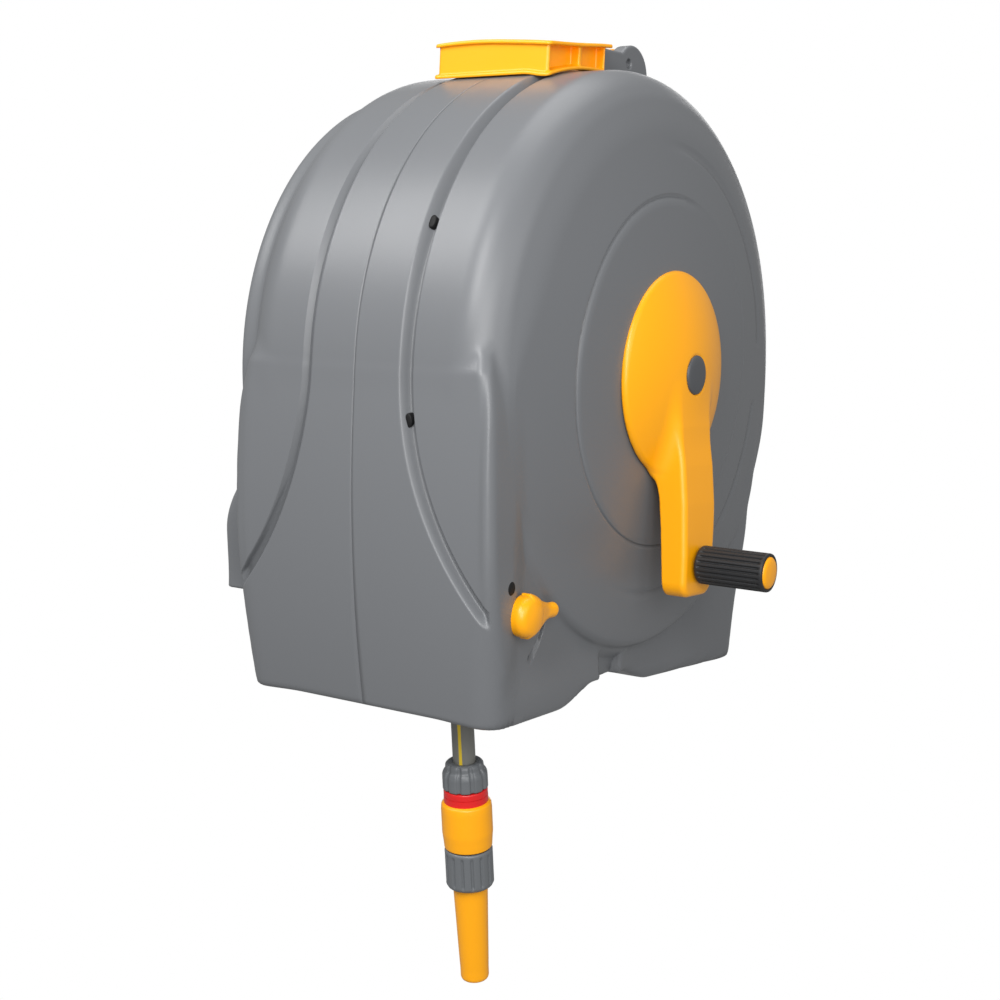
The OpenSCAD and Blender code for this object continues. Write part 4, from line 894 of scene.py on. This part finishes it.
# The screw beside the lock, and the heads in the channel, which are narrower across it
plug = {
    "at": (117.6, -200.0, -152.0),
    "profile": [(0.01, 1.2), (3.8, 1.1), (4.9, 0.7), (5.3, -0.2), (5.3, -4.0), (0.01, -4.0)],
}
strapHead = {
    "profile": [(0.01, 0.9), (4.0, 0.8), (4.8, 0.5), (5.1, 0.0), (5.1, -8.0), (0.01, -8.0)],
    "narrow": 0.58,
    "shift": -0.6,
}
points, faces = lathe(plug["profile"], axisFrame(plug["at"], (1, 0, 0), (0, 0, 1)))
makePiece("screw_plug", points, faces, blackScrew, "casing")
for number, (angle, x, radius) in enumerate(strapHeads):
    outward = (0.0, -math.cos(math.radians(angle)), math.sin(math.radians(angle)))
    place = axisFrame((x, radius * outward[1], radius * outward[2]), outward)
    points, faces = lathe(strapHead["profile"], place)
    points[:, 0] = x + strapHead["shift"] + (points[:, 0] - x) * strapHead["narrow"]
    stands = ["strap_screws"] if number == 0 else []
    makePiece(f"strap_head_{number}", points, faces, blackScrew, "casing", stands)
print("screws made")

# The lock's knob: a round head that runs out into a tail over the slot
knob = {
    "base": 116.2,
    "radius": 15.0,
    "height": 13.2,
    "fall": 3.0,  # the top falls away toward its edge
    "tail": 40.0,
    "tailR": 5.8,
    "tailFall": 4.5,
    "tailFallAt": (10, 32),
    "root": 8.0,  # the tail is this much wider at the head
    "rootEnd": 34.0,
    "rootStart": (-8, 2),
    "topBend": 5.0,
    "box": ((115.5, -19, -19), (134, 49, 19)),
    "cell": 0.75,
}


def knobField(x, y, z):
    k = knob
    u, v = y - lever[1], z - lever[2]
    head = np.hypot(u, v)
    tail = np.where(u > k["tail"], np.hypot(u - k["tail"], v), np.abs(v) + 3.0 * np.maximum(-u, 0))
    root = k["root"] * np.clip(1 - u / k["rootEnd"], 0, 1) * step(*k["rootStart"], u)
    outline = softMin(head - k["radius"], tail - k["tailR"] - root, 8.0)
    fall = k["tailFall"] * step(*k["tailFallAt"], u)
    fall = fall + k["fall"] * np.minimum(head / k["radius"], 1) ** 2
    top = k["base"] + k["height"] - fall
    return roundMax(roundMax(outline, x - top, k["topBend"]), k["base"] - x, 0.5)


low, high = (np.array(corner) + (0, lever[1], lever[2]) for corner in knob["box"])
points, faces = netMesh(knobField, low, high, knob["cell"])
makePiece("lock_knob", points, faces, yellowAbs, "lock_lever", ["lock_lever"])
print("knob made", len(points))

# The cowl over the water inlet on the left: a hood at the front corner, and a hollow arm to the
# drum's axis
cowl = {
    "outer": -166.0,
    "front": -183.0,
    "back": -120.0,
    "top": -95.0,
    "low": -187.0,
    "bend": 9.0,
    "lean": 5.0,
    "leanZ": (-187, -125),
    "slant": (-124.0, 1.8),  # height of the sloping top at the outer face, and its slope
    "armX": -158.0,
    "armHalf": 19.0,
    "armEnd": (-151.0, -118.0),
    "discR": 40.0,
    "innerX": -104.0,
    "wall": 2.5,
    "gap": 0.4,
    "box": ((-167, -189, -188), (-104, 42, 42)),
    "cell": 1.5,
}


def cowlSolid(x, y, z, less):
    c = cowl
    middle, depth = (c["front"] + c["back"]) / 2, (c["back"] - c["front"]) / 2 - less
    lean = c["lean"] * step(*c["leanZ"], z)
    across = np.abs(y - middle + lean / 2) - depth - lean / 2
    hood = roundMax(c["outer"] + less - x, across, c["bend"])
    hood = roundMax(hood, z - c["top"] + less, c["bend"])
    slantZ, slope = c["slant"]
    slant = (z - slantZ - slope * (x - c["outer"]) + 2 * less) / math.hypot(1, slope)
    hood = roundMax(hood, slant, 10.0)
    endY, endZ = c["armEnd"]
    a = math.atan2(endZ, endY)
    along = y * math.cos(a) + z * math.sin(a)
    across = np.abs(-y * math.sin(a) + z * math.cos(a))
    arm = np.where(along < 0, np.hypot(along, across), across) - c["armHalf"] + less
    arm = np.maximum(arm, along - math.hypot(endY, endZ))
    disc = np.hypot(y, z) - c["discR"] + less
    flat = roundMax(softMin(arm, disc, 14.0), c["armX"] + less - x, 7.0)
    return softMin(hood, flat, c["bend"])


def cowlField(x, y, z):
    shape = np.maximum(cowlSolid(x, y, z, 0), cowl["low"] - z)
    shape = roundMax(shape, -cowlSolid(x, y, z, cowl["wall"]), 0.6)
    shape = np.maximum(shape, x - cowl["innerX"])
    return np.maximum(shape, -(casingBase(-x, y, z, True) - cowl["gap"]))


points, faces = netMesh(cowlField, *cowl["box"], cowl["cell"])
makePiece("inlet_cowl", points, faces, shellGrey, "casing", ["inlet_cover"])
print("cowl made", len(points))

# The hose's free end hangs 9.4 degrees off upright, as it leaves the winding. Pieces on it start
# at a distance down its line.
hose = {
    "diameter": 17.3,
    "lean": 9.4,
    "line": [
        (49, -190, -31), (49, -180.6, -88), (49, -171.1, -145),
        (49, -161.7, -202), (49, -152.2, -259), (49, -142.7, -316),
    ],
    "from": (49, -189.9, -31.4),
    "sides": 90,
    "rings": 40,
    "stripeAzimuth": 17.0,
    "stripeHalf": 8.0,
}
hoseLine = np.array(hose["line"], float)
hoseLean = math.radians(hose["lean"])


def makeHose():
    run = hoseLine[-1] - hoseLine[0]
    length = float(np.linalg.norm(run))
    a = math.radians(hose["stripeAzimuth"])
    place = axisFrame(hoseLine[0], run / length, (math.sin(a), -math.cos(a), 0))
    profile = [(hose["diameter"] / 2, h) for h in np.linspace(0, length, hose["rings"])]
    points, faces = lathe(profile, place, hose["sides"])
    obj = makePiece("hose_free_end", points, faces, hoseGrey, "casing", ["free_hose"])
    obj.data.materials.append(hoseYellow)
    for k, face in enumerate(obj.data.polygons):
        turn = (k % hose["sides"] + 0.5) * 360 / hose["sides"]
        if min(turn, 360 - turn) < hose["stripeHalf"]:
            face.material_index = 1
    return obj, length


def turnedPiece(name, start, profile, material, body, replaced, sides=192, rib=None):
    x, y, z = hose["from"]
    at = (x, y + start * math.sin(hoseLean), z - start * math.cos(hoseLean))
    place = axisFrame(at, (0, math.sin(hoseLean), -math.cos(hoseLean)))
    points, faces = lathe(profile, place, sides, rib)
    return makePiece(name, points, faces, material, body, replaced)


# Finger pads: count narrow grooves, each taking share of its pitch
def padRib(count, depth, low, high, share):
    def rib(angle, height):
        inside = step(low, low + 1.5, height) * step(high, high - 1.5, height)
        return -depth * inside * (0.5 + 0.5 * np.tanh(4 * (np.cos(count * angle) - 1 + 2 * share)))

    return rib


hoseNut = {
    "start": 268.5,
    "profile": [
        (8.9, 2.5), (8.9, 0.6), (12.6, 0.2), (14.6, 2.2), (14.9, 6.0),
        (16.4, 7.6), (17.4, 10.5), (17.4, 21.2), (13.0, 21.8),
    ],
    "pads": (10, 1.5, 0.5, 22.5, 0.22),
}
redRing = {
    "start": 290.5,
    "profile": [
        (13.0, 0.0), (16.4, 0.0), (16.8, 1.0), (16.8, 5.2), (15.4, 5.8),
        (15.4, 6.8), (16.9, 7.4), (16.9, 11.0), (13.0, 11.2),
    ],
}
snapSleeve = {
    "start": 300.5,
    "profile": [
        (14.2, 0.6), (16.8, 0.1), (19.0, 1.8), (19.4, 6.0), (19.4, 25.0),
        (18.8, 30.5), (18.3, 37.0), (17.2, 37.7), (16.7, 34.5),
    ],
}
nozzleCollar = {
    "start": 338.9,
    "profile": [
        (14.0, 0.6), (17.8, -0.2), (18.4, 1.6), (18.4, 28.4), (17.4, 30.4), (12.0, 30.6)
    ],
    "pads": (15, 1.3, 3.0, 28.3, 0.16),
}
nozzleBarrel = {
    "start": 370.4,
    "profile": [
        (8.0, -0.5), (12.9, -1.0), (13.3, 2.0), (12.7, 20.0), (11.4, 60.0), (11.0, 70.0),
        (11.0, 76.6), (10.0, 78.8), (5.0, 79.0), (4.2, 70.0), (4.0, 40.0),
    ],
}

hoseObj, hoseLength = makeHose()
nut = turnedPiece(
    "hose_nut", hoseNut["start"], fine(rounded(hoseNut["profile"], 1.2)), connectorGrey,
    "casing", ["clamp_nut"], 240, padRib(*hoseNut["pads"]),
)
ring = turnedPiece(
    "connector_ring", redRing["start"], rounded(redRing["profile"], 0.5), redAbs,
    "casing", [],
)
turnedPiece(
    "connector_grip", snapSleeve["start"], rounded(snapSleeve["profile"], 0.8), yellowAbs,
    "connector_sleeve", ["connector_sleeve"],
)
turnedPiece(
    "nozzle_grip_ring", nozzleCollar["start"], fine(nozzleCollar["profile"]), connectorGrey,
    "casing", ["nozzle_collar"], 300, padRib(*nozzleCollar["pads"]),
)
turnedPiece(
    "nozzle_body", nozzleBarrel["start"], rounded(nozzleBarrel["profile"], 1.0), yellowAbs,
    "nozzle_barrel", ["nozzle_barrel"],
)
print("hose made")

# Soft boxes round the reel: name, place in mm from the drum's axis, size in metres, watts. The
# reel hangs clear, so the background is white wherever the camera looks past it.
studio = {
    "sky": 0.34,
    "background": 1.0,
    "lamps": (
        ("key", (-1000, -1350, 1500), (1.1, 1.1), 27.0),
        ("front", (480, -1700, 1050), (0.5, 0.9), 20.5),
        ("camera side", (980, -1150, 250), (0.7, 0.9), 12.0),
        ("side", (1700, -500, 600), (1.0, 1.0), 4.5),
        ("top", (0, 300, 1900), (1.4, 1.4), 12.0),
        ("back", (-900, 1800, 350), (1.4, 1.4), 13.0),
    ),
}


def makeWorld():
    world = bpy.data.worlds.new("world")
    bpy.context.scene.world = world
    world.use_nodes = True
    tree = world.node_tree
    sky = tree.nodes["Background"]
    sky.inputs["Color"].default_value = (1, 1, 1, 1)
    sky.inputs["Strength"].default_value = studio["sky"]
    white = {"Color": (1, 1, 1, 1), "Strength": studio["background"]}
    seen = addNode(tree, "ShaderNodeBackground", white)
    path = addNode(tree, "ShaderNodeLightPath")
    mix = addNode(tree, "ShaderNodeMixShader", {}, {"Fac": path.outputs["Is Camera Ray"]})
    tree.links.new(sky.outputs[0], mix.inputs[1])
    tree.links.new(seen.outputs[0], mix.inputs[2])
    tree.links.new(mix.outputs[0], tree.nodes["World Output"].inputs["Surface"])


def placeLamps():
    for name, place, size, power in studio["lamps"]:
        data = bpy.data.lights.new(name, "AREA")
        data.shape = "RECTANGLE"
        data.size, data.size_y = size
        data.energy = power
        obj = bpy.data.objects.new(name, data)
        spot, aim = Vector(toFrame(place)), Vector(toFrame((0, 0, 0)))
        turned = (aim - spot).to_track_quat("-Z", "Y").to_matrix().to_4x4()
        obj.matrix_world = Matrix.Translation(spot) @ turned
        bpy.context.scene.collection.objects.link(obj)


bpy.context.scene.view_settings.view_transform = "Standard"
makeWorld()
placeLamps()
print("lights placed")
